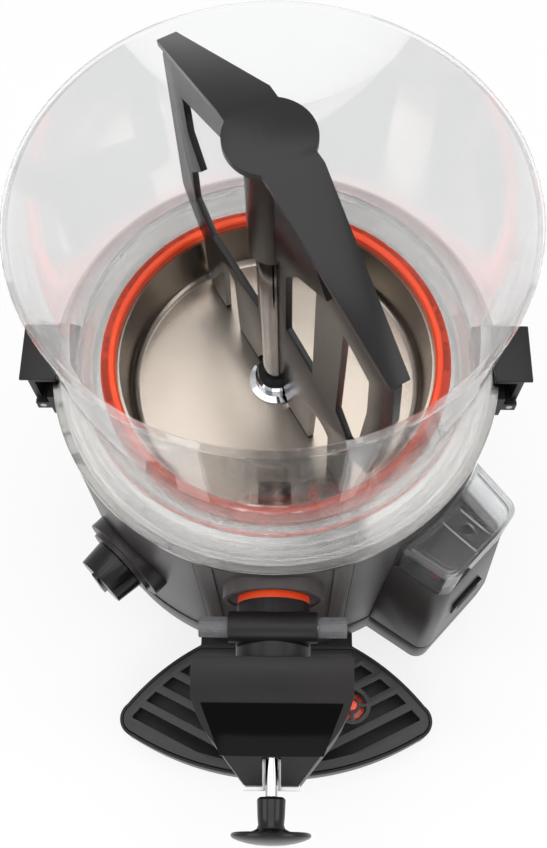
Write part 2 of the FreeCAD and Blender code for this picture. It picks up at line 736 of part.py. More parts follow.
# Pan, bowl and stirrer
def make_pan():
    """Deep-drawn pan with a rolled corner, a flange and the outlet tube in its floor."""
    wall = d.pan_floor_radius + d.pan_sheet
    hole = d.shaft_radius + d.shaft_fit
    curve = d.pan_corner * 1.5
    shell = revolved([
        (hole, PAN_FLOOR - d.pan_sheet),
        (wall - d.pan_corner, PAN_FLOOR - d.pan_sheet, curve, 1),
        (wall, PAN_FLOOR + d.pan_corner - d.pan_sheet),
        (d.pan_rim_radius + d.pan_sheet, DECK),
        (d.pan_flange, DECK),
        (d.pan_flange, PAN_TOP),
        (d.pan_rim_radius, PAN_TOP),
        (d.pan_floor_radius, PAN_FLOOR + d.pan_corner, curve, -1),
        (d.pan_floor_radius - d.pan_corner, PAN_FLOOR),
        (hole, PAN_FLOOR),
    ])
    inside = revolved([
        (0, PAN_FLOOR),
        (d.pan_floor_radius - d.pan_corner, PAN_FLOOR, curve, 1),
        (d.pan_floor_radius, PAN_FLOOR + d.pan_corner),
        (d.pan_rim_radius, PAN_TOP),
        (0, PAN_TOP),
    ])
    tube = cut(forward(d.spout_radius, d.spout_start, d.spout_reach, d.spout_height), inside)
    bore = forward(d.spout_bore, d.spout_start + d.spout_end_wall, FAR, d.spout_height)
    groove = across(d.pin_radius + d.pin_fit, d.saddle_half, d.saddle_reach, d.saddle_height)
    keep("heated_pan", cut(fuse(shell, tube), bore, groove))


def make_collar():
    bore = d.shaft_radius + d.shaft_fit
    top = PAN_FLOOR + d.collar_height
    keep("shaft_collar", revolved([
        (bore, PAN_FLOOR),
        (d.collar_flange, PAN_FLOOR),
        (d.collar_flange, PAN_FLOOR + d.collar_flange_height),
        (d.collar_radius, PAN_FLOOR + d.collar_flange_height + MARGIN),
        (d.collar_radius, top - d.collar_chamfer),
        (d.collar_radius - d.collar_chamfer, top),
        (bore, top),
    ]))
    keep("shaft_seal", revolved([
        (bore, top),
        (d.seal_radius, top),
        (d.seal_radius, top + d.seal_height - d.seal_chamfer),
        (d.seal_radius - d.seal_chamfer, top + d.seal_height),
        (bore, top + d.seal_height),
    ]))


def make_gasket():
    lip = BOWL_UNDER + d.gasket_lip
    keep("bowl_gasket", revolved([
        (d.gasket_inner, PAN_TOP),
        (d.gasket_outer, PAN_TOP),
        (d.gasket_outer, BOWL_UNDER),
        (d.bowl_hole, BOWL_UNDER),
        (d.bowl_hole, lip - d.gasket_soft),
        (d.bowl_hole - d.gasket_soft, lip),
        (d.gasket_inner + d.gasket_soft, lip),
        (d.gasket_inner, lip - d.gasket_soft),
    ]))


def make_bowl():
    """Clear bowl: a flared wall over a hollow foot with three steps."""
    first = DECK + d.bowl_flange_height
    second = first + d.bowl_step_height
    third = second + d.bowl_step_height
    step_one = d.bowl_flange - d.bowl_step
    step_two = step_one - d.bowl_step
    wall_in = d.bowl_low_radius - d.bowl_wall
    floor_in = wall_in - d.bowl_corner
    rim_in = d.bowl_rim_radius - d.bowl_wall
    bead = RIM - d.bowl_bead_height
    keep("bowl", revolved([
        (d.bowl_flange, DECK),
        (d.bowl_flange, first - d.bowl_bead),
        (d.bowl_flange - d.bowl_bead, first),
        (step_one, first),
        (step_one, second - d.bowl_bead),
        (step_one - d.bowl_bead, second),
        (step_two, second),
        (step_two, third - d.bowl_bead),
        (step_two - d.bowl_bead, third),
        (d.bowl_low_radius, third + d.bowl_bead),
        (d.bowl_rim_radius, bead),
        (d.bowl_rim_radius + d.bowl_bead, bead + d.bowl_bead),
        (d.bowl_rim_radius + d.bowl_bead, RIM - d.bowl_bead),
        (d.bowl_rim_radius, RIM),
        (rim_in + d.bowl_bead, RIM),
        (rim_in, RIM - d.bowl_bead),
        (wall_in, third),
        (floor_in, BOWL_FLOOR),
        (d.bowl_hole, BOWL_FLOOR),
        (d.bowl_hole, BOWL_UNDER),
        (floor_in + d.bowl_wall, BOWL_UNDER),
        (wall_in + d.bowl_wall * 0.5, third - d.bowl_wall),
        (step_two - d.bowl_wall, third - d.bowl_wall),
        (step_two - d.bowl_wall, second - d.bowl_wall),
        (step_one - d.bowl_wall, second - d.bowl_wall),
        (step_one - d.bowl_wall, DECK + d.bowl_bead),
        (step_one + d.bowl_bead, DECK),
    ]))


def make_shaft():
    rod = cylinder(d.shaft_radius, d.shaft_high - d.shaft_low, z=d.shaft_low)
    flat_low = d.shaft_high - d.shaft_flat_height
    flat = block(d.shaft_flat, FAR, -FAR, FAR, flat_low, d.shaft_high + MARGIN)
    keep("stirrer_shaft", swing(cut(rod, flat), d.blade_angle))


def make_stirrer():
    """Moulded stirrer, drawn with X along the blade and Z up, then swung round.

    The blade has windows and feet that sweep the pan; a folded flange runs along its top.
    """
    low = PAN_FLOOR + d.blade_gap
    ridge = d.hub_top - d.flange_thickness
    end = ridge - d.flange_drop
    reach = d.blade_reach
    outline = [
        (-d.flange_level, ridge),
        (-reach, end + 1),
        (-(reach + 6), end - 12),
        (-(reach + 5), 274),
        (-96, 252),
        (-88, 244),
        (-88, low + 5),
        (-83, low),
        (-64, low),
        (-62, 246, 9, -1),
        (-47, 250),
        (-45, low),
        (-20, low),
        (-11, low + 22),
        (11, low + 22),
        (20, low),
        (45, low),
        (47, 238, 12, -1),
        (66, 238),
        (67, low),
        (83, low),
        (88, low + 5),
        (88, 244, 30, -1),
        (106, 270),
        (112, 300),
        (reach + 10, end - 36),
        (reach + 7, end - 6),
        (reach, end + 1),
        (d.flange_level, ridge),
    ]
    window_left = [
        (-26, 392),
        (-93, 368),
        (-91, 342),
        (-79, 322),
        (-93, 306),
        (-93, 280),
        (-74, 264),
        (-16, 264),
        (-16, 346),
    ]
    window_near = [(17, 290), (46, 286), (46, 376), (40, 378), (17, 346)]
    window_far = [(71, 286), (84, 272, 20, 1), (94, 290), (97, 334), (95, 364), (71, 372)]
    half = d.blade_thickness * 0.5
    blade = padded("XZ_Plane", [outline, window_left, window_near, window_far], -half, half)
    hub = cylinder(d.hub_radius, d.hub_top - d.hub_low - MARGIN, z=d.hub_low)
    cap = cylinder(d.cap_radius, d.cap_thickness, z=d.hub_top - d.cap_thickness)
    profile = padded("XZ_Plane", [[
        (-(reach + 1), end),
        (-d.flange_level, ridge),
        (d.flange_level, ridge),
        (reach + 7, end - 4),
        (reach + 8, end - 1),
        (d.flange_level, d.hub_top),
        (-d.flange_level, d.hub_top),
        (-(reach + 2), end + 3),
    ]], -d.flange_level, d.flange_level)
    tip = reach + 12
    plan = padded("XY_Plane", [[
        (-tip, -d.flange_end_half),
        (-d.flange_level, -d.flange_hub_half),
        (d.flange_level, -d.flange_hub_half),
        (tip, -d.flange_end_half),
        (tip, d.flange_end_half),
        (d.flange_level, d.flange_hub_half),
        (-d.flange_level, d.flange_hub_half),
        (-tip, d.flange_end_half),
    ]], d.hub_low, d.hub_top + MARGIN)
    rib = d.gusset_thickness * 0.5
    gusset = padded("XZ_Plane", [[(8, 356), (60, 388), (40, 412), (8, 424)]], -rib, rib)
    bore = d.shaft_radius + d.shaft_fit
    socket = cylinder(bore, d.shaft_high - d.hub_low + MARGIN, z=d.hub_low - MARGIN)
    flat_low = d.shaft_high - d.shaft_flat_height + d.flat_fit
    flat = block(d.shaft_flat + d.flat_fit, FAR, -FAR, FAR, flat_low, d.shaft_high + MARGIN)
    passage = cylinder(d.shaft_radius + d.shaft_air, d.hub_low - PAN_FLOOR, z=PAN_FLOOR)
    whole = fuse(blade, hub, cap, common(profile, plan), gusset)
    keep("stirrer", swing(cut(whole, cut(socket, flat), passage), d.blade_angle))


# Drive and heating inside the casing
def make_jacket():
    low = DECK_LOW - d.jacket_depth
    top = PAN_FLOOR - d.pan_sheet
    shell = revolved([
        (d.jacket_tube, low),
        (d.jacket_radius, low),
        (d.jacket_radius, DECK_LOW),
        (d.jacket_radius - d.jacket_sheet, DECK_LOW),
        (d.jacket_radius - d.jacket_sheet, low + d.jacket_sheet),
        (d.jacket_tube + d.jacket_sheet, low + d.jacket_sheet),
        (d.jacket_tube + d.jacket_sheet, top),
        (d.jacket_tube, top),
    ])
    gap = forward(d.spout_radius + d.spout_gap, d.spout_start, FAR, d.spout_height)
    studs = []
    holes = []
    for side in (-1, 1):
        x = d.heater_stud_half * side
        length = d.heater_stud_length + d.jacket_sheet + d.heater_rod
        start = low - d.heater_stud_length
        studs.append(cylinder(d.heater_stud, length, x, d.heater_radius, start))
        holes.append(cylinder(d.heater_stud, length, x, d.heater_radius, start))
    keep("water_jacket", cut(shell, gap, *holes))
    ring = torus(d.heater_radius, d.heater_rod, low + d.jacket_sheet + d.heater_rod)
    keep("heating_element", fuse(ring, *studs))


def make_drive():
    floor = BASE + d.shell_wall
    motor_top = floor + d.motor_height
    gear_top = motor_top + d.gearbox_height
    keep("drive_motor", cylinder(d.motor_radius, d.motor_height, z=floor))
    ring = cylinder(d.mount_radius, d.mount_height, z=floor)
    keep("motor_mount", cut(ring, cylinder(d.motor_radius, d.mount_height, z=floor)))
    box = cylinder(d.gearbox_radius, d.gearbox_height, z=motor_top)
    boss = cylinder(d.bearing_radius, d.bearing_height, z=gear_top)
    bore = cylinder(d.shaft_radius + d.shaft_fit, FAR, z=d.shaft_low - d.shaft_end_gap)
    keep("gearbox", cut(fuse(box, boss), bore))
    back = d.terminal_back
    keep("terminal_block", block(-d.terminal_half, d.terminal_half, back - d.terminal_depth, back,
                                 floor, floor + d.terminal_height))
    gland = forward(d.inlet_radius, -(d.casing_low + d.inlet_proud), -d.terminal_back, d.inlet_height)
    flange = forward(d.inlet_flange, -(d.casing_low + d.inlet_proud), -d.terminal_back, d.inlet_height)
    flange = cut(flange, casing_cone())
    bore = forward(d.inlet_bore, -size(FAR), 0, d.inlet_height)
    keep("cable_inlet", cut(fuse(gland, flange), bore))


# Tap
def make_tap_body():
    """Neck, valve chamber and outlet in one moulding, with the cross pin's housing on top."""
    washer = forward(d.washer_radius, WASHER, NECK, d.spout_height)
    keep("spout_gasket", cut(washer, forward(d.spout_radius, 0, FAR, d.spout_height)))
    neck = forward(d.neck_radius, NECK, d.neck_reach, d.spout_height)
    height = d.chamber_high - d.chamber_low
    chamber = cylinder(d.chamber_radius, height, 0, -d.chamber_reach, d.chamber_low)
    flare = d.outlet_radius + d.outlet_flare
    outlet = cone(d.outlet_radius, flare, d.chamber_low - d.outlet_low, 0, -d.chamber_reach, d.outlet_low)
    saddle = across(d.saddle_radius, d.saddle_half, d.saddle_reach, d.saddle_height)
    web = slab(d.neck_radius - MARGIN, d.saddle_reach + d.saddle_radius, d.saddle_reach - d.saddle_radius,
               d.spout_height, d.saddle_height)
    body = fuse(neck, chamber, outlet, saddle, web)
    socket = forward(d.spout_radius + d.neck_fit, 0, d.spout_reach + d.neck_fit, d.spout_height)
    duct = forward(d.duct_radius, d.saddle_reach, d.chamber_reach, d.duct_height)
    well = cylinder(d.piston_radius + d.piston_fit, FAR, 0, -d.chamber_reach, d.piston_seat)
    mouth = cylinder(d.outlet_bore, FAR, 0, -d.chamber_reach, d.outlet_low - MARGIN)
    slot = slab(d.fork_half + MARGIN, FAR, d.chamber_reach, d.piston_seat + d.piston_length + MARGIN, FAR)
    pin = across(d.pin_radius + d.pin_fit, d.saddle_half + MARGIN, d.saddle_reach, d.saddle_height)
    keep("tap_body", cut(body, socket, duct, well, mouth, slot, pin))


def make_piston():
    """Piston with a waist for the lever's fork, and the ring that seals it."""
    y = -d.chamber_reach
    waist_low = d.piston_seat + d.piston_length
    head_low = waist_low + d.piston_waist_length
    stack = fuse(
        cylinder(d.piston_radius, d.piston_length, 0, y, d.piston_seat),
        cylinder(d.piston_waist, d.piston_waist_length, 0, y, waist_low),
        cylinder(d.piston_head, d.piston_head_height, 0, y, head_low),
    )
    low = d.piston_seat + d.ring_groove_low
    inner = d.piston_radius - d.ring_groove
    groove = cut(cylinder(d.piston_radius + MARGIN, d.ring_groove_height, 0, y, low),
                 cylinder(inner, d.ring_groove_height, 0, y, low))
    keep("tap_piston", cut(stack, groove))
    ring = cylinder(d.piston_radius, d.ring_groove_height, 0, y, low)
    keep("piston_ring", cut(ring, cylinder(inner, d.ring_groove_height, 0, y, low)))


def hood_plan(inset):
    """Shield outline of the hood."""
    half, knee = d.hood_half - inset, d.hood_knee_half - inset
    nose, reach = d.hood_nose_half - inset, d.hood_reach - inset
    curve = d.hood_curve - inset
    return [
        (-half, -d.hood_back),
        (-half, -d.hood_side, curve, 1),
        (-knee, -(d.hood_knee - inset)),
        (-nose, -reach),
        (nose, -reach),
        (knee, -(d.hood_knee - inset), curve, 1),
        (half, -d.hood_side),
        (half, -d.hood_back),
    ]


def hood_solid(inset, low):
    """The hood's outer form, drawn in by a wall."""
    top = d.hood_top - inset
    plan = padded("XY_Plane", [hood_plan(inset)], low, d.hood_top + MARGIN)
    side = padded("YZ_Plane", [[
        (-d.hood_reach, low),
        (-d.hood_back, low),
        (-d.hood_back, top),
        (-d.hood_shoulder, top),
        (-d.hood_reach, top - d.hood_fall),
    ]], -d.hood_half, d.hood_half)
    return common(plan, side)


def make_hood():
    """Hood over the tap, with a top that falls to the lever, and the bare plate on it."""
    inner = hood_solid(d.hood_wall, d.hood_low)
    slot = slab(d.slot_half, FAR, d.slot_start, d.hood_low - MARGIN, FAR)
    slit = slab(d.bracket_half + d.bracket_gap, FAR, d.slot_start, d.bracket_low - d.bracket_gap,
                d.bracket_low + d.ear_thickness + d.bracket_gap)
    shell = cut(hood_solid(size(0), d.hood_low), inner, slot, slit)
    roof = d.hood_fall * ((d.chamber_reach.value - d.hood_shoulder.value)
                          / (d.hood_reach.value - d.hood_shoulder.value))
    length = d.hood_top - d.hood_wall * 0.5 - roof - d.chamber_high
    posts = []
    for side in (-1, 1):
        posts.append(cylinder(d.hood_post_radius, length, d.hood_post * side, -d.chamber_reach,
                              d.chamber_high))
    keep("tap_hood", fuse(shell, *posts))
    flat = padded("XY_Plane", [[
        (-d.plate_back_half, -d.plate_back),
        (-d.plate_front_half, -d.plate_front),
        (d.plate_front_half, -d.plate_front),
        (d.plate_back_half, -d.plate_back),
    ]], d.hood_low, FAR)
    skin = padded("YZ_Plane", [[
        (-d.hood_reach, d.hood_top - d.hood_fall),
        (-d.hood_shoulder, d.hood_top),
        (-d.hood_shoulder, d.hood_top + d.plate_thickness),
        (-d.hood_reach, d.hood_top - d.hood_fall + d.plate_thickness),
    ]], -d.hood_half, d.hood_half)
    keep("hood_plate", common(flat, skin))


def make_lever():
    """Rod with a pivot eye and a fork that lifts the piston, its bracket, pin and knob."""
    y, z = -d.lever_reach, d.lever_height
    eye = across(d.eye_radius, d.eye_half, d.lever_reach, z)
    rod = forward(d.lever_radius, d.lever_reach, d.knob_back + d.knob_socket, z)
    fork_low = z - d.fork_drop
    arm = slab(d.fork_half, d.lever_reach, d.fork_end, fork_low, fork_low + d.fork_thickness)
    gap = slab(d.piston_waist + d.fork_gap, d.chamber_reach + d.piston_waist + d.fork_gap, 0,
               fork_low - MARGIN, fork_low + d.fork_thickness + MARGIN)
    bore = across(d.pivot_radius + d.pivot_fit, d.eye_half + MARGIN, d.lever_reach, z)
    keep("tap_lever", cut(fuse(eye, rod, cut(arm, gap)), bore))
    ear_in = d.eye_half + d.ear_gap
    pin_half = ear_in + d.ear_thickness + MARGIN
    keep("lever_pin", across(d.pivot_radius, pin_half, d.lever_reach, z))
    bed = d.bracket_low + d.ear_thickness
    plate = slab(d.bracket_half, d.bracket_front, d.bracket_back, d.bracket_low, bed)
    slot = slab(d.lever_radius + d.neck_fit, FAR, d.bracket_slot, d.bracket_low - MARGIN, bed + MARGIN)
    ears = []
    for side in (-1, 1):
        near, far = ear_in * side, (ear_in + d.ear_thickness) * side
        x_low, x_high = (near, far) if side > 0 else (far, near)
        ears.append(block(x_low, x_high, y - d.eye_radius, y + d.eye_radius, d.bracket_low,
                          z + d.ear_rise))
    chamber = cylinder(d.chamber_radius, FAR, 0, -d.chamber_reach)
    hole = across(d.pivot_radius, pin_half, d.lever_reach, z)
    keep("lever_bracket", cut(fuse(cut(plate, slot), *ears), chamber, hole))
    stem = forward(d.knob_stem, d.knob_back, d.knob_disc_back, z)
    disc = forward(d.knob_disc, d.knob_disc_back, d.knob_disc_back + d.knob_edge, z)
    crown = d.knob_disc_back + d.knob_edge
    dome = cone(d.knob_disc, d.knob_crown, d.knob_front - crown, 0, -crown, z, ALONG_FRONT)
    socket = forward(d.lever_radius, d.knob_back, d.knob_back + d.knob_socket, z)
    keep("lever_knob", cut(fuse(stem, disc, dome), socket))


def make_cross_pin():
    """Pin across the neck that locks the tap; its flat frees the spout when it is turned."""
    tip = d.saddle_half + d.grip_length
    rod = across(d.pin_radius, tip - d.grip_end, d.saddle_reach, d.saddle_height)
    flat = slab(d.spout_radius, d.saddle_reach + d.saddle_radius, d.saddle_reach + d.pin_flat,
                d.saddle_height - d.saddle_radius, d.saddle_height + d.saddle_radius)
    keep("cross_pin", cut(rod, flat))
    start = d.saddle_half + d.grip_gap
    grips = []
    for side in (-1, 1):
        x = start if side > 0 else -tip
        grip = cylinder(d.grip_radius, tip - start, x, -d.saddle_reach, d.saddle_height, ALONG_X)
        hole = across(d.pin_radius, tip - d.grip_end, d.saddle_reach, d.saddle_height)
        grips.append(cut(grip, hole))
    keep("pin_grips", group(*grips))


# Drip tray
def tray_plan(inset, low, high):
    """The tray's leaf outline, drawn in by an even margin and pushed up."""
    sketch = doc.addObject("Sketcher::SketchObject", "TrayOutline")
    add_loop(sketch, [
        (d.neck_half, -d.tray_back, d.tray_back_curve, -1),
        (d.tray_wide_half, -d.tray_wide_back, d.tray_tip_curve, -1),
        (d.tray_tip_half, -d.tray_tip_front, d.tray_front_curve, -1),
        (-d.tray_tip_half, -d.tray_tip_front, d.tray_tip_curve, -1),
        (-d.tray_wide_half, -d.tray_wide_back, d.tray_back_curve, -1),
        (-d.neck_half, -d.tray_back),
    ])
    profile = sketch
    if size(inset).value:
        profile = doc.addObject("Part::Offset2D", "Inset")
        profile.Source = sketch
        bind(profile, "Value", -size(inset))
    thing = doc.addObject("Part::Extrusion", "Extrusion")
    thing.Base = profile
    thing.DirMode = "Custom"
    thing.Dir = Vector(0, 0, 1)
    thing.Solid = True
    bind(thing, "LengthFwd", size(high) - low)
    return place(thing, 0, 0, low)


def make_tray():
    rim = d.tray_height
    outer = tray_plan(0, d.tray_low, rim)
    well = tray_plan(d.tray_wall + d.grille_ledge, d.tray_low + d.tray_wall, rim + MARGIN)
    seat = tray_plan(d.tray_wall, rim - d.grille_sheet, rim + MARGIN)
    neck = slab(d.neck_half, d.tray_back + MARGIN, d.neck_back, d.neck_low, rim)
    window = slab(d.neck_half - d.neck_window, d.tray_back - d.tray_wall, d.neck_back + d.tray_wall,
                  d.neck_low + d.tray_wall, rim + MARGIN)
    tray = cut(outer, well, seat)
    pillar = cylinder(d.pillar_radius, d.float_low - d.tray_low - d.rail_gap, d.float_x,
                      -d.float_reach, d.tray_low)
    keep("drip_tray", fuse(tray, cut(neck, window, seat), pillar))


def make_grille():
    """Grille with slanted slots and a spoked window for the float."""
    rim = d.tray_height
    low = rim - d.grille_sheet
    inset = d.tray_wall + d.grille_gap
    sheet_top = tray_plan(inset, low, rim)
    slots = []
    for side in (-1, 1):
        for row in range(int(d.grille_rows.value)):
            offset = d.grille_first + d.grille_pitch * row
            bar = block(-FAR, FAR, -(offset + d.grille_slot * 0.5), -(offset - d.grille_slot * 0.5),
                        low - MARGIN, rim + MARGIN)
            turned = d.grille_slant if side > 0 else 360 - d.grille_slant
            near, far = (d.grille_rib, size(FAR)) if side > 0 else (-size(FAR), -d.grille_rib)
            half = block(near, far, -FAR, 0, low - MARGIN, rim + MARGIN)
            slots.append(common(swing(group(bar), turned), half))
    open_field = tray_plan(d.grille_margin, low - MARGIN, rim + MARGIN)
    keep_out = cylinder(d.float_window + d.float_rim, FAR, d.float_x, -d.float_reach)
    windows = cut(common(open_field, fuse(*slots)), keep_out)
    x, y = d.float_x, -d.float_reach
    span = d.float_window + MARGIN
    hub = cylinder(d.spoke_hub, d.grille_sheet, x, y, low)
    spokes = [
        block(x - span, x + span, y - d.spoke_half, y + d.spoke_half, low, rim),
        block(x - d.spoke_half, x + d.spoke_half, y - span, y + span, low, rim),
    ]
    eye = cylinder(d.float_window, FAR, x, y)
    guide = cylinder(d.float_stem + d.float_fit, FAR, x, y)
    keep("tray_grille", cut(fuse(cut(sheet_top, windows, eye), hub, *spokes), guide))
    disc = cylinder(d.float_radius, d.float_height, x, y, d.float_low)
    stem = cylinder(d.float_stem, rim - d.float_sink - d.float_low, x, y, d.float_low)
    keep("level_float", fuse(disc, stem))


# Water tank beside the bowl
def make_tank():
    """Dark column against the casing with a clear tank and its lid on top."""
    column = lofted(column_outline(size(0)), CASING, column_outline(d.column_draft), d.column_high)
    hollow = lofted(column_outline(size(0), d.column_wall), CASING - MARGIN,
                    column_outline(d.column_draft, d.column_wall), d.column_high - d.column_wall)
    window = slab(d.switch_half_wide - MARGIN, FAR, d.column_back,
                  d.switch_height - d.switch_half_tall + MARGIN,
                  d.switch_height + d.switch_half_tall - MARGIN)
    seat = slab(d.switch_half_wide + d.switch_gap, FAR, d.switch_reach - d.switch_bezel,
                d.switch_height - d.switch_half_tall - d.switch_gap,
                d.switch_height + d.switch_half_tall + d.switch_gap)
    keep("tank_column", swing(cut(column, hollow, window, seat, casing_cone()), d.tank_azimuth))
    side = d.bowl_flange + d.tank_gap
    draft = d.column_draft
    wall = cut(column_piece(d.column_high, d.tank_high, draft), cylinder(side, FAR))
    inside = column_piece(d.column_high + d.tank_wall, d.tank_high + MARGIN, draft, d.tank_wall)
    inside = cut(inside, cylinder(side + d.tank_wall, FAR))
    keep("water_tank", swing(cut(wall, inside), d.tank_azimuth))
    top = d.tank_high + d.lid_thickness
    lid = cut(column_piece(d.tank_high, top, draft), cylinder(side, FAR))
    lip = lid_rim(d.tank_wall + d.lid_fit, d.lip_wall, d.tank_high - d.lid_lip, d.tank_high)
    line = lid_rim(d.lid_line, d.lid_line_width, top, top + d.lid_line_height)
    handle = slab(d.handle_half, d.handle_high, d.handle_low, top, top + d.handle_height)
    inner = slab(d.handle_half - d.handle_wall, d.handle_high - d.handle_wall,
                 d.handle_low + d.handle_wall, top, top + d.handle_height + MARGIN)
    hole = cylinder(d.lid_hole, FAR, 0, -d.lid_hole_reach)
    keep("tank_lid", swing(cut(fuse(lid, lip, line, cut(handle, inner)), hole), d.tank_azimuth))


def lid_rim(inset, width, low, high):
    """A closed ridge that follows the lid's outline."""
    side = d.bowl_flange + d.tank_gap
    outer = cut(column_piece(low, high, d.column_draft, inset), cylinder(side + inset, FAR))
    inner = cut(column_piece(low - MARGIN, high + MARGIN, d.column_draft, inset + width),
                cylinder(side + inset + width, FAR))
    return cut(outer, inner)


def make_switch():
    """Main switch on the column's outer face: a frame and a notched rocker."""
    z = d.switch_height
    back = d.switch_reach - d.switch_depth
    wide, tall = d.switch_half_wide - d.switch_bezel, d.switch_half_tall - d.switch_bezel
    flange = slab(d.switch_half_wide, d.switch_reach, d.switch_reach - d.switch_bezel,
                  z - d.switch_half_tall, z + d.switch_half_tall)
    case = slab(d.switch_half_wide - MARGIN, d.switch_reach, back,
                z - d.switch_half_tall + MARGIN, z + d.switch_half_tall - MARGIN)
    well = slab(wide, FAR, back + MARGIN, z - tall, z + tall)
    keep("switch_frame", swing(cut(fuse(flange, case), well), d.tank_azimuth))
    body = across(d.rocker_radius, d.rocker_half, d.rocker_reach, z)
    notch = padded("YZ_Plane", [[
        (-(d.rocker_reach + d.rocker_notch), z),
        (-(d.rocker_reach + d.rocker_radius + MARGIN), z - d.rocker_notch),
        (-(d.rocker_reach + d.rocker_radius + MARGIN), z + d.rocker_notch),
    ]], -d.switch_half_wide, d.switch_half_wide)
    keep("switch_rocker", swing(cut(body, notch), d.tank_azimuth))


# Thermostat and bowl latches
def make_dial():
    """Thermostat: a stepped plate, a knob with a grip, its spindle and the case inside."""
    z = d.dial_height
    plate = fuse(
        forward(d.bezel_radius, d.spindle_back, d.bezel_reach, z),
        forward(d.bezel_step, d.spindle_back, d.bezel_step_reach, z),
    )
    bore = forward(d.spindle_radius + d.spindle_fit, d.spindle_back, FAR, z)
    keep("dial_plate", swing(cut(plate, casing_cone(), bore), d.dial_azimuth))
    face = d.dial_back + d.dial_depth
    body = cone(d.dial_radius, d.dial_top_radius, d.dial_depth, 0, -d.dial_back, z, ALONG_FRONT)
    reach = d.dial_top_radius - MARGIN
    grip = slab(d.dial_grip, face + d.dial_grip_proud, d.dial_back, z - reach, z + reach)
    socket = forward(d.spindle_radius, d.dial_back, d.dial_back + d.spindle_in_knob, z)
    keep("thermostat_knob", swing(cut(fuse(body, grip), socket), d.dial_azimuth))
    spindle = forward(d.spindle_radius, d.spindle_back, d.dial_back + d.spindle_in_knob, z)
    keep("dial_spindle", swing(group(spindle), d.dial_azimuth))
    half = d.thermostat_half
    case = slab(half, d.thermostat_reach, d.thermostat_back, z - half, z + half)
    bush = forward(d.bush_radius, d.thermostat_back, d.bush_reach, z)
    shoulder = forward(d.shoulder_radius, d.thermostat_back, d.shoulder_reach, z)
    bore = forward(d.spindle_radius + d.spindle_fit, d.spindle_back - MARGIN, FAR, z)
    keep("thermostat", swing(cut(fuse(case, bush, shoulder), bore), d.dial_azimuth))


def make_latch(name, azimuth):
    """A bowl latch: a bracket on the casing, a pin and a hook over the bowl's foot."""
    z, half = d.latch_height, d.latch_half
    outer = d.latch_reach + d.latch_wall
    hook_low = DECK + d.bowl_flange_height + d.latch_gap
    hook_top = hook_low + d.latch_wall
    hook = cut(
        fuse(
            across(d.latch_wall, half, d.latch_reach, z),
            slab(half, outer, d.latch_reach, z, hook_top),
            slab(half, outer, d.latch_tip, hook_low, hook_top),
            slab(half, outer + d.latch_tab, d.latch_reach, hook_top - d.latch_pin, hook_top),
        ),
        across(d.latch_pin + d.latch_fit, half + MARGIN, d.latch_reach, z),
    )
    keep(f"latch_{name}", swing(hook, azimuth))
    ear_in = half + d.latch_side
    ear_out = ear_in + d.shell_wall
    ears = []
    for side in (-1, 1):
        x_low, x_high = (ear_in, ear_out) if side > 0 else (-ear_out, -ear_in)
        ears.append(block(x_low, x_high, -(d.latch_reach + d.latch_wall), -d.deck_radius,
                          z - d.latch_wall, z + d.latch_wall))
    tall = d.latch_plate_half
    plate = slab(ear_out, d.latch_plate, d.deck_hole, z - tall, z + tall)
    pin_hole = across(d.latch_pin, ear_out, d.latch_reach, z)
    keep(f"latch_bracket_{name}", swing(cut(fuse(plate, *ears), casing_cone(), pin_hole), azimuth))
    keep(f"latch_pin_{name}", swing(group(across(d.latch_pin, ear_out, d.latch_reach, z)), azimuth))


make_feet()
make_base()
make_casing()
make_front_panel()
make_deck()
make_pan()
make_collar()
make_gasket()
make_bowl()
make_shaft()
make_stirrer()
make_jacket()
make_drive()
make_tap_body()
make_piston()
make_hood()
make_lever()
make_cross_pin()
make_tray()
make_grille()
make_tank()
make_switch()
make_dial()
make_latch("left", 270)
make_latch("right", 90)
doc.recompute()

# Nothing is written unless every object is sound.
faults = [f"{thing.Name} {thing.Label} {thing.State}" for thing in doc.Objects
          if {"Invalid", "Error"} & set(thing.State)]
faults += [f"{thing.Label} has no sound shape" for thing in finished
           if thing.Shape.isNull() or not thing.Shape.isValid()]
if faults:
    raise RuntimeError("; ".join(faults))
for thing in finished:
    box = thing.Shape.BoundBox
    print(f"{thing.Label:22s} {len(thing.Shape.Solids)} solids {thing.Shape.Volume:9.0f} mm3"
          f"  x {box.XMin:.1f} {box.XMax:.1f}  y {box.YMin:.1f} {box.YMax:.1f}"
          f"  z {box.ZMin:.1f} {box.ZMax:.1f}")
    thing.Shape.exportStep(f"parts/{thing.Label}.step")
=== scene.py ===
"""Looks of the hot chocolate dispenser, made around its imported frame.

Lengths in the machine's classes and finishes are millimetres, those in the studio are metres, as
Blender's are. +Z is up and the tap faces -Y.
"""

from __future__ import annotations

import json
import logging
import math
from collections.abc import Callable, Sequence
from dataclasses import dataclass
from enum import Enum

import bpy
from mathutils import Matrix, Vector

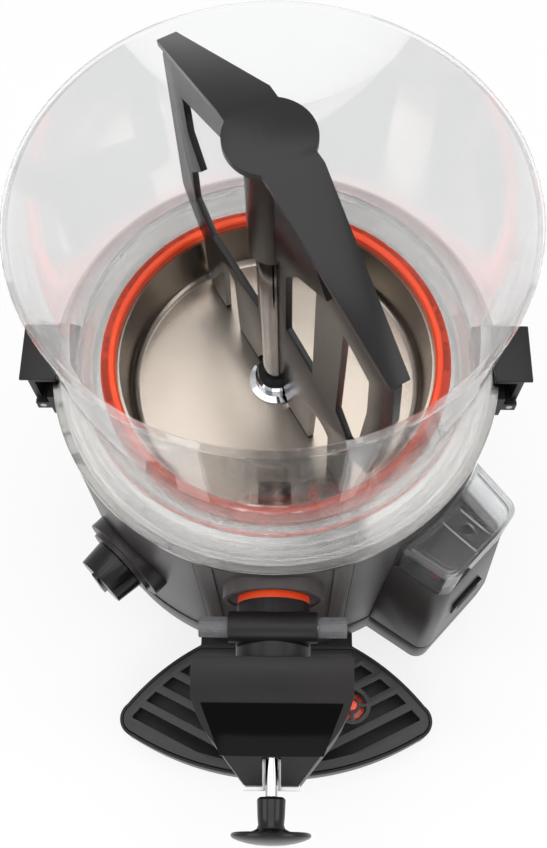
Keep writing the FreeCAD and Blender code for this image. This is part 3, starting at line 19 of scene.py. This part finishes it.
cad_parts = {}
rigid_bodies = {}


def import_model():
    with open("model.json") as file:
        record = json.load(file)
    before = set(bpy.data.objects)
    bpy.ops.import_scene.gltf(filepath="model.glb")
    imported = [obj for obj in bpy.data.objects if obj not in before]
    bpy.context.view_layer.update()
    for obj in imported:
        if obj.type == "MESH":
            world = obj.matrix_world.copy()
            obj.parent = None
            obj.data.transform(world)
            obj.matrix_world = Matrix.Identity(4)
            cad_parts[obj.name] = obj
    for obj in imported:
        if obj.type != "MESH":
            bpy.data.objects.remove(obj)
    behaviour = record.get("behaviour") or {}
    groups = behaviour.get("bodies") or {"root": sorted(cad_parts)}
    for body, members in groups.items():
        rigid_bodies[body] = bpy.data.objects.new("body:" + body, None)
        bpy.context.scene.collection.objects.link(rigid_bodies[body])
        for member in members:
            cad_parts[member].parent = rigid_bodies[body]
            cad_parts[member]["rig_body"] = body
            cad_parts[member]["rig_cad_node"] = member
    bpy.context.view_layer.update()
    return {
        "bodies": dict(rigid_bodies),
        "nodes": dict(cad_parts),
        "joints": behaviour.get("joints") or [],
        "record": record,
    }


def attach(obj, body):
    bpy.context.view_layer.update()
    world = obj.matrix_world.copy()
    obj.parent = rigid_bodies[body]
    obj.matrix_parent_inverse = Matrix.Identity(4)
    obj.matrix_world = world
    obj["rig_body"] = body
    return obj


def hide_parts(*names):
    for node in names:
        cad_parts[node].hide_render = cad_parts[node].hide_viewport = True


LOG = logging.getLogger("dispenser")
MM = 0.001

# The sRGB curve: a straight start up to the knee, then a power.
SRGB_KNEE = 0.04045
SRGB_SLOPE = 12.92
SRGB_SHIFT = 0.055
SRGB_POWER = 2.4


# Small helpers for nodes, colours and modelling by operators


def linear(hex_colour: str) -> tuple[float, float, float, float]:
    """Turn an sRGB hex colour to a linear one.

    Args:
        hex_colour: Six hex digits after a hash.

    Returns:
        Linear red, green and blue, and an alpha of one.
    """
    parts = [int(hex_colour[i : i + 2], 16) / 255 for i in (1, 3, 5)]
    red, green, blue = (
        part / SRGB_SLOPE
        if part <= SRGB_KNEE
        else ((part + SRGB_SHIFT) / (1 + SRGB_SHIFT)) ** SRGB_POWER
        for part in parts
    )
    return red, green, blue, 1.0


def add_node(
    tree: bpy.types.NodeTree,
    kind: str,
    values: dict[str | int, object] | None = None,
    links: dict[str | int, bpy.types.NodeSocket] | None = None,
    **settings: object,
) -> bpy.types.Node:
    """Add a node with its settings and links.

    Args:
        tree: The node tree that gets it.
        kind: The node's type.
        values: Input name or place to its value.
        links: Input name or place to the socket that feeds it.
        settings: Attributes of the node itself.

    Returns:
        The new node.
    """
    node = tree.nodes.new(kind)
    for name, value in settings.items():
        setattr(node, name, value)
    for name, value in (values or {}).items():
        node.inputs[name].default_value = value
    for name, socket in (links or {}).items():
        tree.links.new(socket, node.inputs[name])
    return node


def start_material(
    name: str,
) -> tuple[bpy.types.Material, bpy.types.NodeTree, bpy.types.Node]:
    """Make a material that holds only its shader.

    Args:
        name: The material's name.

    Returns:
        The material, its node tree and its shader.
    """
    made = bpy.data.materials.new(name)
    made.use_nodes = True
    tree = made.node_tree
    return made, tree, tree.nodes["Principled BSDF"]


def deselect() -> None:
    """Enter object mode with nothing selected."""
    if bpy.context.object and bpy.context.object.mode != "OBJECT":
        bpy.ops.object.mode_set(mode="OBJECT")
    bpy.ops.object.select_all(action="DESELECT")


def pick(*pieces: bpy.types.Object) -> None:
    """Select these pieces and nothing else.

    Args:
        pieces: The pieces; the first one becomes active.
    """
    deselect()
    for piece in pieces:
        piece.select_set(True)
    bpy.context.view_layer.objects.active = pieces[0]


def select_faces(
    piece: bpy.types.Object, wanted: Callable[[bpy.types.MeshPolygon], bool]
) -> None:
    """Select faces by a test and enter edit mode in face mode.

    Args:
        piece: The mesh object that is worked on.
        wanted: A test that takes a polygon and says whether it is selected.
    """
    bpy.ops.object.mode_set(mode="OBJECT")
    for part in (piece.data.vertices, piece.data.edges):
        for item in part:
            item.select = False
    for face in piece.data.polygons:
        face.select = wanted(face)
    bpy.ops.object.mode_set(mode="EDIT")
    bpy.ops.mesh.select_mode(type="FACE")


def round_edges(
    piece: bpy.types.Object, width: float, segments: int = 3, angle: float = 32.0
) -> None:
    """Round a piece's edges and smooth it.

    Args:
        piece: The mesh object.
        width: Width of the rounding in millimetres.
        segments: Steps of the rounding.
        angle: Edges sharper than this many degrees are rounded.
    """
    pick(piece)
    bevel = piece.modifiers.new("Bevel", "BEVEL")
    bevel.width = width * MM
    bevel.segments = segments
    bevel.limit_method = "ANGLE"
    bevel.angle_limit = math.radians(angle)
    bevel.use_clamp_overlap = True
    bpy.ops.object.modifier_apply(modifier=bevel.name)
    bpy.ops.object.shade_smooth_by_angle(angle=math.radians(angle))


def settle(piece: bpy.types.Object, name: str) -> bpy.types.Object:
    """Name a piece and put its place in its mesh.

    Args:
        piece: The finished object.
        name: Its name.

    Returns:
        The same object, at the origin.
    """
    pick(piece)
    bpy.ops.object.transform_apply(location=True, rotation=True, scale=True)
    piece.name = name
    return piece


# Finishes


class Pattern(Enum):
    """How a surface was made, which gives its fine marks."""

    MOULDED = "moulded"
    TURNED = "turned"
    BRUSHED = "brushed"


@dataclass(frozen=True)
class Surface:
    """What a piece is finished in. Each kind wires its own nodes."""

    name: str

    def wire(
        self,
        tree: bpy.types.NodeTree,
        shader: bpy.types.Node,
        place: bpy.types.NodeSocket,
    ) -> None:
        """Wire the nodes of this finish to the shader.

        Args:
            tree: The material's nodes.
            shader: The material's shader.
            place: Object coordinates.
        """
        raise NotImplementedError

    def material(self) -> bpy.types.Material:
        """Make the material, or give the one that is there already.

        Returns:
            The material, ready to assign.
        """
        if self.name in bpy.data.materials:
            return bpy.data.materials[self.name]
        made, tree, shader = start_material(self.name)
        self.wire(tree, shader, add_node(tree, "ShaderNodeTexCoord").outputs["Object"])
        return made

    def cover(self, piece: bpy.types.Object) -> None:
        """Put the material on a piece, in place of what it had."""
        piece.data.materials.clear()
        piece.data.materials.append(self.material())


@dataclass(frozen=True)
class Finish(Surface):
    """An opaque finish with colour that wanders, uneven gloss and fine marks.

    deep and raised are the two colours that it wanders between, and patch is the size of a patch
    in millimetres. spread is how far the gloss wanders. grain is the size of the fine marks and
    relief their height, both in millimetres.
    """

    deep: str
    raised: str
    roughness: float
    spread: float
    patch: float
    grain: float
    relief: float
    pattern: Pattern = Pattern.MOULDED
    metallic: float = 0.0
    ior: float = 1.5
    specular: float = 0.5
    patch_detail: float = 4.0
    grain_detail: float = 2.0
    ring_detail: float = 3.0
    brush_stretch: float = 0.04
    bump_strength: float = 0.5

    def marks(
        self, tree: bpy.types.NodeTree, place: bpy.types.NodeSocket
    ) -> bpy.types.NodeSocket:
        """Draw the fine marks that the making left.

        Args:
            tree: The material's nodes.
            place: Object coordinates.

        Returns:
            A height from 0 to 1.
        """
        scale = 1 / (self.grain * MM)
        if self.pattern is Pattern.TURNED:
            flat = add_node(tree, "ShaderNodeMapping", {"Scale": (1, 1, 0)}, {"Vector": place})
            reach = add_node(
                tree, "ShaderNodeVectorMath", links={0: flat.outputs[0]}, operation="LENGTH"
            )
            rings = add_node(
                tree, "ShaderNodeTexNoise", {"Scale": scale, "Detail": self.ring_detail},
                {"W": reach.outputs["Value"]}, noise_dimensions="1D",
            )
            return rings.outputs[0]
        if self.pattern is Pattern.BRUSHED:
            drawn = add_node(
                tree, "ShaderNodeMapping", {"Scale": (self.brush_stretch, 1, 1)},
                {"Vector": place},
            )
            place = drawn.outputs[0]
        marks = add_node(
            tree, "ShaderNodeTexNoise", {"Scale": scale, "Detail": self.grain_detail},
            {"Vector": place},
        )
        return marks.outputs[0]

    def wire(
        self,
        tree: bpy.types.NodeTree,
        shader: bpy.types.Node,
        place: bpy.types.NodeSocket,
    ) -> None:
        """Wire patches to colour and gloss, and fine marks to bump.

        Args:
            tree: The material's nodes.
            shader: The material's shader.
            place: Object coordinates.
        """
        patches = add_node(
            tree, "ShaderNodeTexNoise",
            {"Scale": 1 / (self.patch * MM), "Detail": self.patch_detail}, {"Vector": place},
        ).outputs[0]
        colour = add_node(
            tree, "ShaderNodeMixRGB",
            {"Color1": linear(self.deep), "Color2": linear(self.raised)}, {"Fac": patches},
        )
        gloss = add_node(
            tree, "ShaderNodeMapRange",
            {"To Min": self.roughness - self.spread, "To Max": self.roughness + self.spread},
            {"Value": patches},
        )
        bump = add_node(
            tree, "ShaderNodeBump",
            {"Strength": self.bump_strength, "Distance": self.relief * MM},
            {"Height": self.marks(tree, place)},
        )
        tree.links.new(colour.outputs[0], shader.inputs["Base Color"])
        tree.links.new(gloss.outputs[0], shader.inputs["Roughness"])
        tree.links.new(bump.outputs[0], shader.inputs["Normal"])
        shader.inputs["Metallic"].default_value = self.metallic
        shader.inputs["Specular IOR Level"].default_value = self.specular
        if not self.metallic:
            shader.inputs["IOR"].default_value = self.ior


@dataclass(frozen=True)
class ClearFinish(Surface):
    """Clear moulded plastic with faint flow waves and an uneven polish.

    flow is the size of a wave and relief its height, in millimetres. haze is the roughness where
    the polish is worst. body and rim are how much the wall covers what is behind it, seen
    square on and seen along.
    """

    tint: str
    ior: float
    flow: float
    relief: float
    body: float = 0.3
    rim: float = 0.65
    haze: float = 0.05
    edge_blend: float = 0.35
    flow_detail: float = 2.0
    bump_strength: float = 0.3

    def wire(
        self,
        tree: bpy.types.NodeTree,
        shader: bpy.types.Node,
        place: bpy.types.NodeSocket,
    ) -> None:
        """Wire waves to gloss and bump, and the angle of view to how clear the wall is.

        Args:
            tree: The material's nodes.
            shader: The material's shader.
            place: Object coordinates.
        """
        flow = add_node(
            tree, "ShaderNodeTexNoise",
            {"Scale": 1 / (self.flow * MM), "Detail": self.flow_detail}, {"Vector": place},
        ).outputs[0]
        gloss = add_node(
            tree, "ShaderNodeMapRange", {"To Min": 0.0, "To Max": self.haze}, {"Value": flow}
        )
        bump = add_node(
            tree, "ShaderNodeBump",
            {"Strength": self.bump_strength, "Distance": self.relief * MM}, {"Height": flow},
        )
        edge = add_node(tree, "ShaderNodeLayerWeight", {"Blend": self.edge_blend})
        cover = add_node(
            tree, "ShaderNodeMapRange", {"To Min": self.body, "To Max": self.rim},
            {"Value": edge.outputs["Facing"]},
        )
        tree.links.new(cover.outputs[0], shader.inputs["Alpha"])
        tree.links.new(gloss.outputs[0], shader.inputs["Roughness"])
        tree.links.new(bump.outputs[0], shader.inputs["Normal"])
        shader.inputs["Base Color"].default_value = linear(self.tint)
        shader.inputs["IOR"].default_value = self.ior
        shader.inputs["Transmission Weight"].default_value = 1.0


# ABS, injection moulded with a spark-eroded grain: soft grey highlights along every edge.
ABS_SATIN = Finish(
    "abs_black_satin", "#151414", "#221f1f", roughness=0.40, spread=0.06, patch=46, grain=0.7,
    relief=0.05, specular=0.22,
)
# The same ABS on the big upright faces, with a coarser grain that breaks up reflections.
ABS_CASING = Finish(
    "abs_charcoal_casing", "#1f1c1c", "#2c2828", roughness=0.34, spread=0.05, patch=60,
    grain=0.8, relief=0.05, specular=0.28,
)
# ABS of the front panel, moulded in a lighter batch: grey and nearly matt.
ABS_PANEL = Finish(
    "abs_grey_panel", "#353030", "#423c3c", roughness=0.42, spread=0.04, patch=50, grain=0.8,
    relief=0.05, specular=0.3,
)
# Acrylic, cast flat and polished: deep black with faint, sharp reflections.
ACRYLIC_BLACK = Finish(
    "acrylic_black_polished", "#020202", "#040404", roughness=0.10, spread=0.03, patch=40,
    grain=4, relief=0.004, specular=0.06,
)
# Phenolic, compression moulded for hand parts: smooth and glossy from handling.
PHENOLIC_BLACK = Finish(
    "phenolic_black_handled", "#0d0c0c", "#171616", roughness=0.22, spread=0.06, patch=18,
    grain=1.0, relief=0.02, specular=0.25,
)
# Glass-filled nylon, injection moulded: grey and dry, with a visible speckle.
NYLON_GREY = Finish(
    "nylon_grey_filled", "#58585a", "#7c7c7e", roughness=0.46, spread=0.06, patch=3, grain=0.6,
    relief=0.08, specular=0.45,
)
# Acetal of the stirrer, moulded in a polished tool: black, with long highlights on its folds.
ACETAL_BLACK = Finish(
    "acetal_black_polished", "#121111", "#1b1919", roughness=0.25, spread=0.05, patch=34,
    grain=0.9, relief=0.03, specular=0.24,
)
# Polypropylene of the grille, injection moulded: dark, with a soft waxy sheen.
PP_GRILLE = Finish(
    "polypropylene_dark", "#252425", "#343334", roughness=0.38, spread=0.06, patch=26,
    grain=0.8, relief=0.05, specular=0.3,
)
# Silicone, press moulded: saturated orange that stays matt at a glance.
SILICONE_ORANGE = Finish(
    "silicone_orange", "#e03a12", "#f2501c", roughness=0.38, spread=0.08, patch=22, grain=0.9,
    relief=0.03, ior=1.43,
)
# Polypropylene of the float, moulded in a polished tool: bright orange with small highlights.
PP_ORANGE = Finish(
    "polypropylene_orange", "#dd3512", "#f04a1c", roughness=0.26, spread=0.05, patch=12,
    grain=0.9, relief=0.02,
)
# Nitrile rubber, press moulded: dusty black with no clear highlight.
RUBBER_BLACK = Finish(
    "nitrile_rubber_black", "#121212", "#202020", roughness=0.7, spread=0.08, patch=14,
    grain=0.6, relief=0.08, specular=0.2,
)
# Stainless steel, deep drawn and turned with an abrasive: rings about the axis, drawn coarser
# than the real ones so that they show.
STEEL_TURNED = Finish(
    "stainless_turned", "#857c73", "#a1988e", roughness=0.24, spread=0.06, patch=90, grain=0.9,
    relief=0.02, pattern=Pattern.TURNED, metallic=1.0,
)
# Stainless deck under the clear bowl, pressed and turned: broad silvery rings that light the
# bowl's foot, also drawn coarse.
STEEL_DECK = Finish(
    "stainless_pressed_deck", "#83817f", "#9b9996", roughness=0.24, spread=0.06, patch=70,
    grain=5.0, relief=0.2, pattern=Pattern.TURNED, metallic=1.0,
)
# Chromium plate over polished steel: mirror bright with a faint waviness.
CHROME = Finish(
    "chromium_plate", "#9d9da0", "#bdbdbf", roughness=0.07, spread=0.03, patch=30, grain=9,
    relief=0.004, metallic=1.0,
)
# Stainless strip, brushed one way: long faint lines across the bracket and the element.
STEEL_BRUSHED = Finish(
    "stainless_brushed", "#a9a8a6", "#c4c3c1", roughness=0.3, spread=0.06, patch=40, grain=0.5,
    relief=0.02, pattern=Pattern.BRUSHED, metallic=1.0,
)
# Aluminium, die cast and tumbled: grey and grainy.
ALUMINIUM_CAST = Finish(
    "aluminium_die_cast", "#8e8f90", "#a8a9aa", roughness=0.5, spread=0.08, patch=12,
    grain=0.8, relief=0.06, metallic=1.0,
)
# Urea of the terminal block, compression moulded: warm off-white and matt.
UREA_WHITE = Finish(
    "urea_off_white", "#cfc8b8", "#dbd5c7", roughness=0.5, spread=0.05, patch=16, grain=0.9,
    relief=0.04,
)
# Polycarbonate, injection moulded and polished: clear, with soft flow waves in thick parts. Its
# index is matched to the photograph's pale walls, below the real 1.58.
POLYCARBONATE = ClearFinish("polycarbonate_clear", "#fbfdff", ior=1.36, flow=38, relief=0.10)

SLOT_FINISH: dict[str, Surface] = {
    "foot_rubber": RUBBER_BLACK,
    "casing_plastic": ABS_CASING,
    "panel_plastic": ABS_PANEL,
    "pan_steel": STEEL_TURNED,
    "chrome": CHROME,
    "seal_rubber": RUBBER_BLACK,
    "orange_rubber": SILICONE_ORANGE,
    "clear_plastic": POLYCARBONATE,
    "black_plastic": ABS_SATIN,
    "gloss_black": PHENOLIC_BLACK,
    "element_steel": STEEL_BRUSHED,
    "drive_metal": ALUMINIUM_CAST,
    "pale_plastic": UREA_WHITE,
    "grey_plastic": NYLON_GREY,
    "orange_plastic": PP_ORANGE,
}
# Nodes whose finish differs from the rest of their slot.
NODE_FINISH: dict[str, Surface] = {
    "bowl_deck": STEEL_DECK,
    "hood_plate": ACRYLIC_BLACK,
    "stirrer": ACETAL_BLACK,
    "tray_grille": PP_GRILLE,
}


# The machine


@dataclass
class Model:
    """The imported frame: its nodes, the body that each is in and the slot of each."""

    nodes: dict[str, bpy.types.Object]
    body_of: dict[str, str]
    slot_of: dict[str, str]

    @classmethod
    def from_frame(cls, frame: dict) -> Model:
        """Read the frame.


        Returns:
            The model with its look-up tables.
        """
        record = frame["record"]
        bodies = record["behaviour"]["bodies"]
        body_of = {node: body for body, members in bodies.items() for node in members}
        slot_of = {part["node"]: part["material_slot"] for part in record["subparts"]}
        return cls(frame["nodes"], body_of, slot_of)

    def finish_of(self, node: str) -> Surface:
        """Give the finish of a node."""
        return NODE_FINISH.get(node) or SLOT_FINISH[self.slot_of[node]]

    def dress(self) -> None:
        """Give every carried-over node its material."""
        for name, thing in self.nodes.items():
            self.finish_of(name).cover(thing)
            LOG.info("node %s", name)

    def add(self, piece: bpy.types.Object, like: str, finish: Surface) -> None:
        """Give a piece its finish, and the body of a node.

        Args:
            piece: The new piece.
            like: The node whose body it takes.
            finish: Its finish.
        """
        finish.cover(piece)
        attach(piece, self.body_of[like])
        LOG.info("piece %s", piece.name)

    def hand_over(self, piece: bpy.types.Object, node: str) -> None:
        """Let a piece stand for a node, with the node's finish and body.

        Args:
            piece: The new piece.
            node: The node it stands for.
        """
        self.add(piece, node, self.finish_of(node))
        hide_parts(node)


@dataclass
class SoftenedParts:
    """Moulded parts whose edges the real mould rounds; widths in millimetres."""

    model: Model
    widths: tuple[tuple[str, float], ...] = (
        ("stirrer", 0.9),
        ("tap_hood", 1.6),
        ("tap_body", 1.0),
        ("tank_column", 1.2),
        ("base_plate", 1.0),
        ("drip_tray", 0.8),
        ("tray_grille", 0.6),
        ("latch_left", 0.8),
        ("latch_right", 0.8),
        ("front_panel", 0.6),
        ("thermostat_knob", 0.9),
        ("dial_plate", 0.7),
        ("switch_frame", 0.4),
        ("switch_rocker", 0.3),
        ("lever_bracket", 0.4),
        ("tap_lever", 0.3),
        ("level_float", 0.5),
        ("hood_plate", 0.2),
    )
    merge: float = 0.002
    flat_angle: float = 0.6

    def build(self) -> None:
        """Make a rounded copy of each part and let it stand for the part."""
        for node, width in self.widths:
            self.soften(node, width)

    def soften(self, node: str, width: float) -> None:
        """Round one part: merge its loose triangles, join its flat faces, then bevel.

        Args:
            node: The part.
            width: Width of its rounding.
        """
        source = self.model.nodes[node]
        piece = source.copy()
        piece.data = source.data.copy()
        piece.parent = None
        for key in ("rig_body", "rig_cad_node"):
            if key in piece:
                del piece[key]
        bpy.context.scene.collection.objects.link(piece)
        pick(piece)
        bpy.ops.object.mode_set(mode="EDIT")
        bpy.ops.mesh.select_all(action="SELECT")
        bpy.ops.mesh.remove_doubles(threshold=self.merge * MM)
        bpy.ops.mesh.dissolve_limited(angle_limit=math.radians(self.flat_angle))
        bpy.ops.object.mode_set(mode="OBJECT")
        round_edges(piece, width)
        self.model.hand_over(settle(piece, f"{node}_softened"), node)


@dataclass
class TurnedForm:
    """A round piece drawn out step by step from a disc, as on a lathe.

    Each step is how far the end moves out and the radius that it has there.
    """

    name: str
    radius: float
    steps: tuple[tuple[float, float], ...]
    sides: int = 64
    smooth_angle: float = 35.0

    def build(self, place: Vector, tilt: float) -> bpy.types.Object:
        """Draw the form along its own axis, then tilt and place it.

        Args:
            place: Where the form starts, in metres.
            tilt: Tilt of its axis from upright in degrees; 90 lays it forward.

        Returns:
            The finished piece.
        """
        deselect()
        bpy.ops.mesh.primitive_circle_add(
            vertices=self.sides, radius=self.radius * MM, fill_type="NGON", location=(0, 0, 0)
        )
        piece = bpy.context.object
        bpy.ops.object.mode_set(mode="EDIT")
        bpy.ops.mesh.select_all(action="SELECT")
        last = self.radius
        for advance, radius in self.steps:
            bpy.ops.mesh.extrude_region_move(
                TRANSFORM_OT_translate={"value": (0, 0, advance * MM)}
            )
            ratio = radius / last
            bpy.ops.transform.resize(value=(ratio, ratio, 1), center_override=(0, 0, 0))
            last = radius
        bpy.ops.mesh.select_all(action="SELECT")
        bpy.ops.mesh.normals_make_consistent(inside=False)
        bpy.ops.object.mode_set(mode="OBJECT")
        bpy.ops.object.shade_smooth_by_angle(angle=math.radians(self.smooth_angle))
        lean = Matrix.Rotation(math.radians(tilt), 4, "X")
        piece.matrix_world = Matrix.Translation(place) @ lean
        return settle(piece, self.name)


@dataclass
class Tap:
    """Hand parts of the tap: the domed push knob and the ribbed grips of the cross pin."""

    model: Model
    knob_reach: float = 254.0
    knob_height: float = 188.0
    knob_radius: float = 6.6
    knob_steps: tuple[tuple[float, float], ...] = (
        # Waisted stem.
        (0.6, 7.4), (0.8, 8.0), (9.0, 7.6), (4.0, 7.2), (2.0, 8.0), (1.4, 11.0),
        # Rim of the disc.
        (0.4, 20.4), (0.5, 21.8), (0.8, 22.2), (1.0, 22.0), (0.9, 21.0),
        # Dome, closed to a point.
        (1.2, 18.0), (1.2, 13.5), (0.9, 8.0), (0.3, 3.0), (0.05, 0.4),
    )
    pin_reach: float = 163.0
    pin_height: float = 204.6
    grip_radius: float = 5.9
    grip_start: float = 25.8
    grip_end: float = 42.5
    grip_inset: float = 0.9
    rib_count: int = 36
    rib_depth: float = 0.55
    rib_rounding: float = 0.12
    side_limit: float = 0.1

    def build(self) -> None:
        """Make the knob and the grips."""
        self.knob()
        self.grips()

    def knob(self) -> None:
        """Turn the knob: a waisted stem and a disc with a domed face."""
        form = TurnedForm("lever_push_knob", self.knob_radius, self.knob_steps)
        place = Vector((0, -self.knob_reach * MM, self.knob_height * MM))
        self.model.hand_over(form.build(place, 90.0), "lever_knob")

    def grips(self) -> None:
        """Make one ribbed grip, copy it to the other side and join both."""
        deselect()
        length = self.grip_end - self.grip_start
        middle = (self.grip_end + self.grip_start) / 2
        bpy.ops.mesh.primitive_cylinder_add(
            vertices=self.rib_count * 2, radius=self.grip_radius * MM, depth=length * MM,
            location=(middle * MM, -self.pin_reach * MM, self.pin_height * MM),
            rotation=(0, math.radians(90), 0),
        )
        piece = bpy.context.object
        settle(piece, "pin_grips_ribbed")
        select_faces(piece, lambda face: len(face.vertices) > 4)
        bpy.ops.mesh.inset(thickness=self.grip_inset * MM)
        select_faces(
            piece, lambda face: abs(face.normal.x) < self.side_limit and face.index % 2 == 0
        )
        bpy.ops.mesh.extrude_region_shrink_fatten(
            TRANSFORM_OT_shrink_fatten={"value": -self.rib_depth * MM}
        )
        bpy.ops.object.mode_set(mode="OBJECT")
        round_edges(piece, self.rib_rounding, segments=2)
        pick(piece)
        bpy.ops.object.duplicate()
        other = bpy.context.object
        bpy.ops.transform.rotate(
            value=math.pi, orient_axis="Z", center_override=(0, -self.pin_reach * MM, 0)
        )
        settle(other, "grip_copy")
        pick(piece, other)
        bpy.ops.object.join()
        self.model.hand_over(settle(piece, "pin_grips_ribbed"), "pin_grips")


@dataclass
class TankDetails:
    """Moulded nubs on the side tank's clear lid.

    A nub's place is drawn with the tank at the front, then turned with it about the bowl's axis.
    """

    model: Model
    azimuth: float = 47.0
    lid_top: float = 214.4
    nub_places: tuple[tuple[float, float], ...] = ((-24, 150), (24, 150), (-21, 163), (21, 163))
    nub_radius: float = 1.9
    nub_steps: tuple[tuple[float, float], ...] = ((0.5, 1.9), (0.25, 1.615), (0.05, 0.4))
    nub_sides: int = 24

    def build(self) -> None:
        """Set a rounded nub at each place on the lid."""
        turn = Matrix.Rotation(math.radians(self.azimuth), 4, "Z")
        for number, (x, reach) in enumerate(self.nub_places):
            form = TurnedForm(
                f"lid_nub_{number}", self.nub_radius, self.nub_steps, self.nub_sides
            )
            place = turn @ Vector((x * MM, -reach * MM, self.lid_top * MM))
            self.model.add(form.build(place, 0.0), "tank_lid", POLYCARBONATE)


# The studio


@dataclass(frozen=True)
class Lamp:
    """A square soft lamp: its place and side in metres and its power in watts."""

    place: tuple[float, float, float]
    side: float
    power: float

    def hang(self, aim: Vector) -> None:
        """Hang the lamp.

        Args:
            aim: The point that it faces, in metres.
        """
        bpy.ops.object.light_add(type="AREA", location=self.place)
        lamp = bpy.context.object
        lamp.data.size = self.side
        lamp.data.energy = self.power
        toward = aim - Vector(self.place)
        lamp.rotation_euler = toward.to_track_quat("-Z", "Y").to_euler()


@dataclass
class Studio:
    """Pale floor, soft light and the photograph's camera; metres, degrees and watts."""

    floor_size: float = 60.0
    paper_tone: float = 0.86
    paper_roughness: float = 0.9
    paper_glow: float = 0.8
    room_light: float = 0.45
    lamps: tuple[Lamp, ...] = (
        Lamp((0.0, 0.25, 2.0), 1.8, 22.0),
        Lamp((-1.5, -0.6, 1.3), 1.1, 10.0),
        Lamp((1.5, -0.6, 1.3), 1.1, 10.0),
        Lamp((0.0, -1.7, 1.0), 1.0, 7.0),
    )
    aim: tuple[float, float, float] = (0.0, -0.05, 0.2)
    camera_place: tuple[float, float, float] = (0.0096, -0.2906, 0.7922)
    pitch: float = 66.5
    yaw: float = -2.4
    roll: float = -1.9
    lens: float = 43.51
    sensor: float = 36.0

    def build(self) -> None:
        """Make floor, world, lamps and camera."""
        self.floor()
        self.world()
        for lamp in self.lamps:
            lamp.hang(Vector(self.aim))
        self.camera()

    def seen(self, tree: bpy.types.NodeTree) -> bpy.types.NodeSocket:
        """Tell what the camera sees directly, mirrored or through clear plastic.

        Args:
            tree: The nodes of the floor or the world.

        Returns:
            One for such a ray and zero for any other.
        """
        path = add_node(tree, "ShaderNodeLightPath").outputs
        seen = path["Is Camera Ray"]
        for ray in ("Is Glossy Ray", "Is Transmission Ray"):
            either = add_node(
                tree, "ShaderNodeMath", links={0: seen, 1: path[ray]}, operation="MAXIMUM"
            )
            seen = either.outputs[0]
        return seen

    def floor(self) -> None:
        """Lay a pale floor that stays white and keeps the shadow."""
        deselect()
        bpy.ops.mesh.primitive_plane_add(size=self.floor_size, location=(0, 0, 0))
        floor = bpy.context.object
        floor.name = "studio_floor"
        made, tree, shader = start_material("studio_paper")
        shader.inputs["Base Color"].default_value = (*[self.paper_tone] * 3, 1)
        shader.inputs["Roughness"].default_value = self.paper_roughness
        glow = add_node(tree, "ShaderNodeEmission", {"Strength": 1.0})
        part = add_node(
            tree, "ShaderNodeMath", {1: self.paper_glow}, {0: self.seen(tree)},
            operation="MULTIPLY",
        )
        mixed = add_node(
            tree, "ShaderNodeMixShader",
            links={0: part.outputs[0], 1: shader.outputs[0], 2: glow.outputs[0]},
        )
        tree.links.new(mixed.outputs[0], tree.nodes["Material Output"].inputs["Surface"])
        floor.data.materials.append(made)

    def world(self) -> None:
        """Fill the room with even light, white to the camera."""
        world = bpy.data.worlds.new("studio_room")
        world.use_nodes = True
        tree = world.node_tree
        back = tree.nodes["Background"]
        back.inputs["Color"].default_value = (1, 1, 1, 1)
        level = add_node(
            tree, "ShaderNodeMapRange", {"To Min": self.room_light, "To Max": 1.0},
            {"Value": self.seen(tree)},
        )
        tree.links.new(level.outputs[0], back.inputs["Strength"])
        bpy.context.scene.world = world

    def camera(self) -> None:
        """Set the camera where the photograph was taken from."""
        pitch, yaw, roll = (math.radians(turn) for turn in (self.pitch, self.yaw, self.roll))
        ahead = Vector(
            (math.sin(yaw) * math.cos(pitch), math.cos(yaw) * math.cos(pitch), -math.sin(pitch))
        )
        right = Vector((math.cos(yaw), -math.sin(yaw), 0))
        up = right.cross(ahead)
        across = right * math.cos(roll) + up * math.sin(roll)
        upright = up * math.cos(roll) - right * math.sin(roll)
        turn = Matrix((across, upright, -ahead)).transposed().to_4x4()
        data = bpy.data.cameras.new("photo_camera")
        data.lens = self.lens
        data.sensor_width = self.sensor
        data.sensor_fit = "AUTO"
        camera = bpy.data.objects.new("photo_camera", data)
        bpy.context.scene.collection.objects.link(camera)
        camera.matrix_world = Matrix.Translation(Vector(self.camera_place)) @ turn
        bpy.context.scene.camera = camera


def main() -> None:
    """Load the frame, build the pieces in order and set the studio."""
    logging.basicConfig(level=logging.INFO)
    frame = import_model()
    bpy.context.scene.view_settings.view_transform = "Standard"
    model = Model.from_frame(frame)
    model.dress()
    Studio().build()
    SoftenedParts(model).build()
    Tap(model).build()
    TankDetails(model).build()


if __name__ == "__main__":
    main()
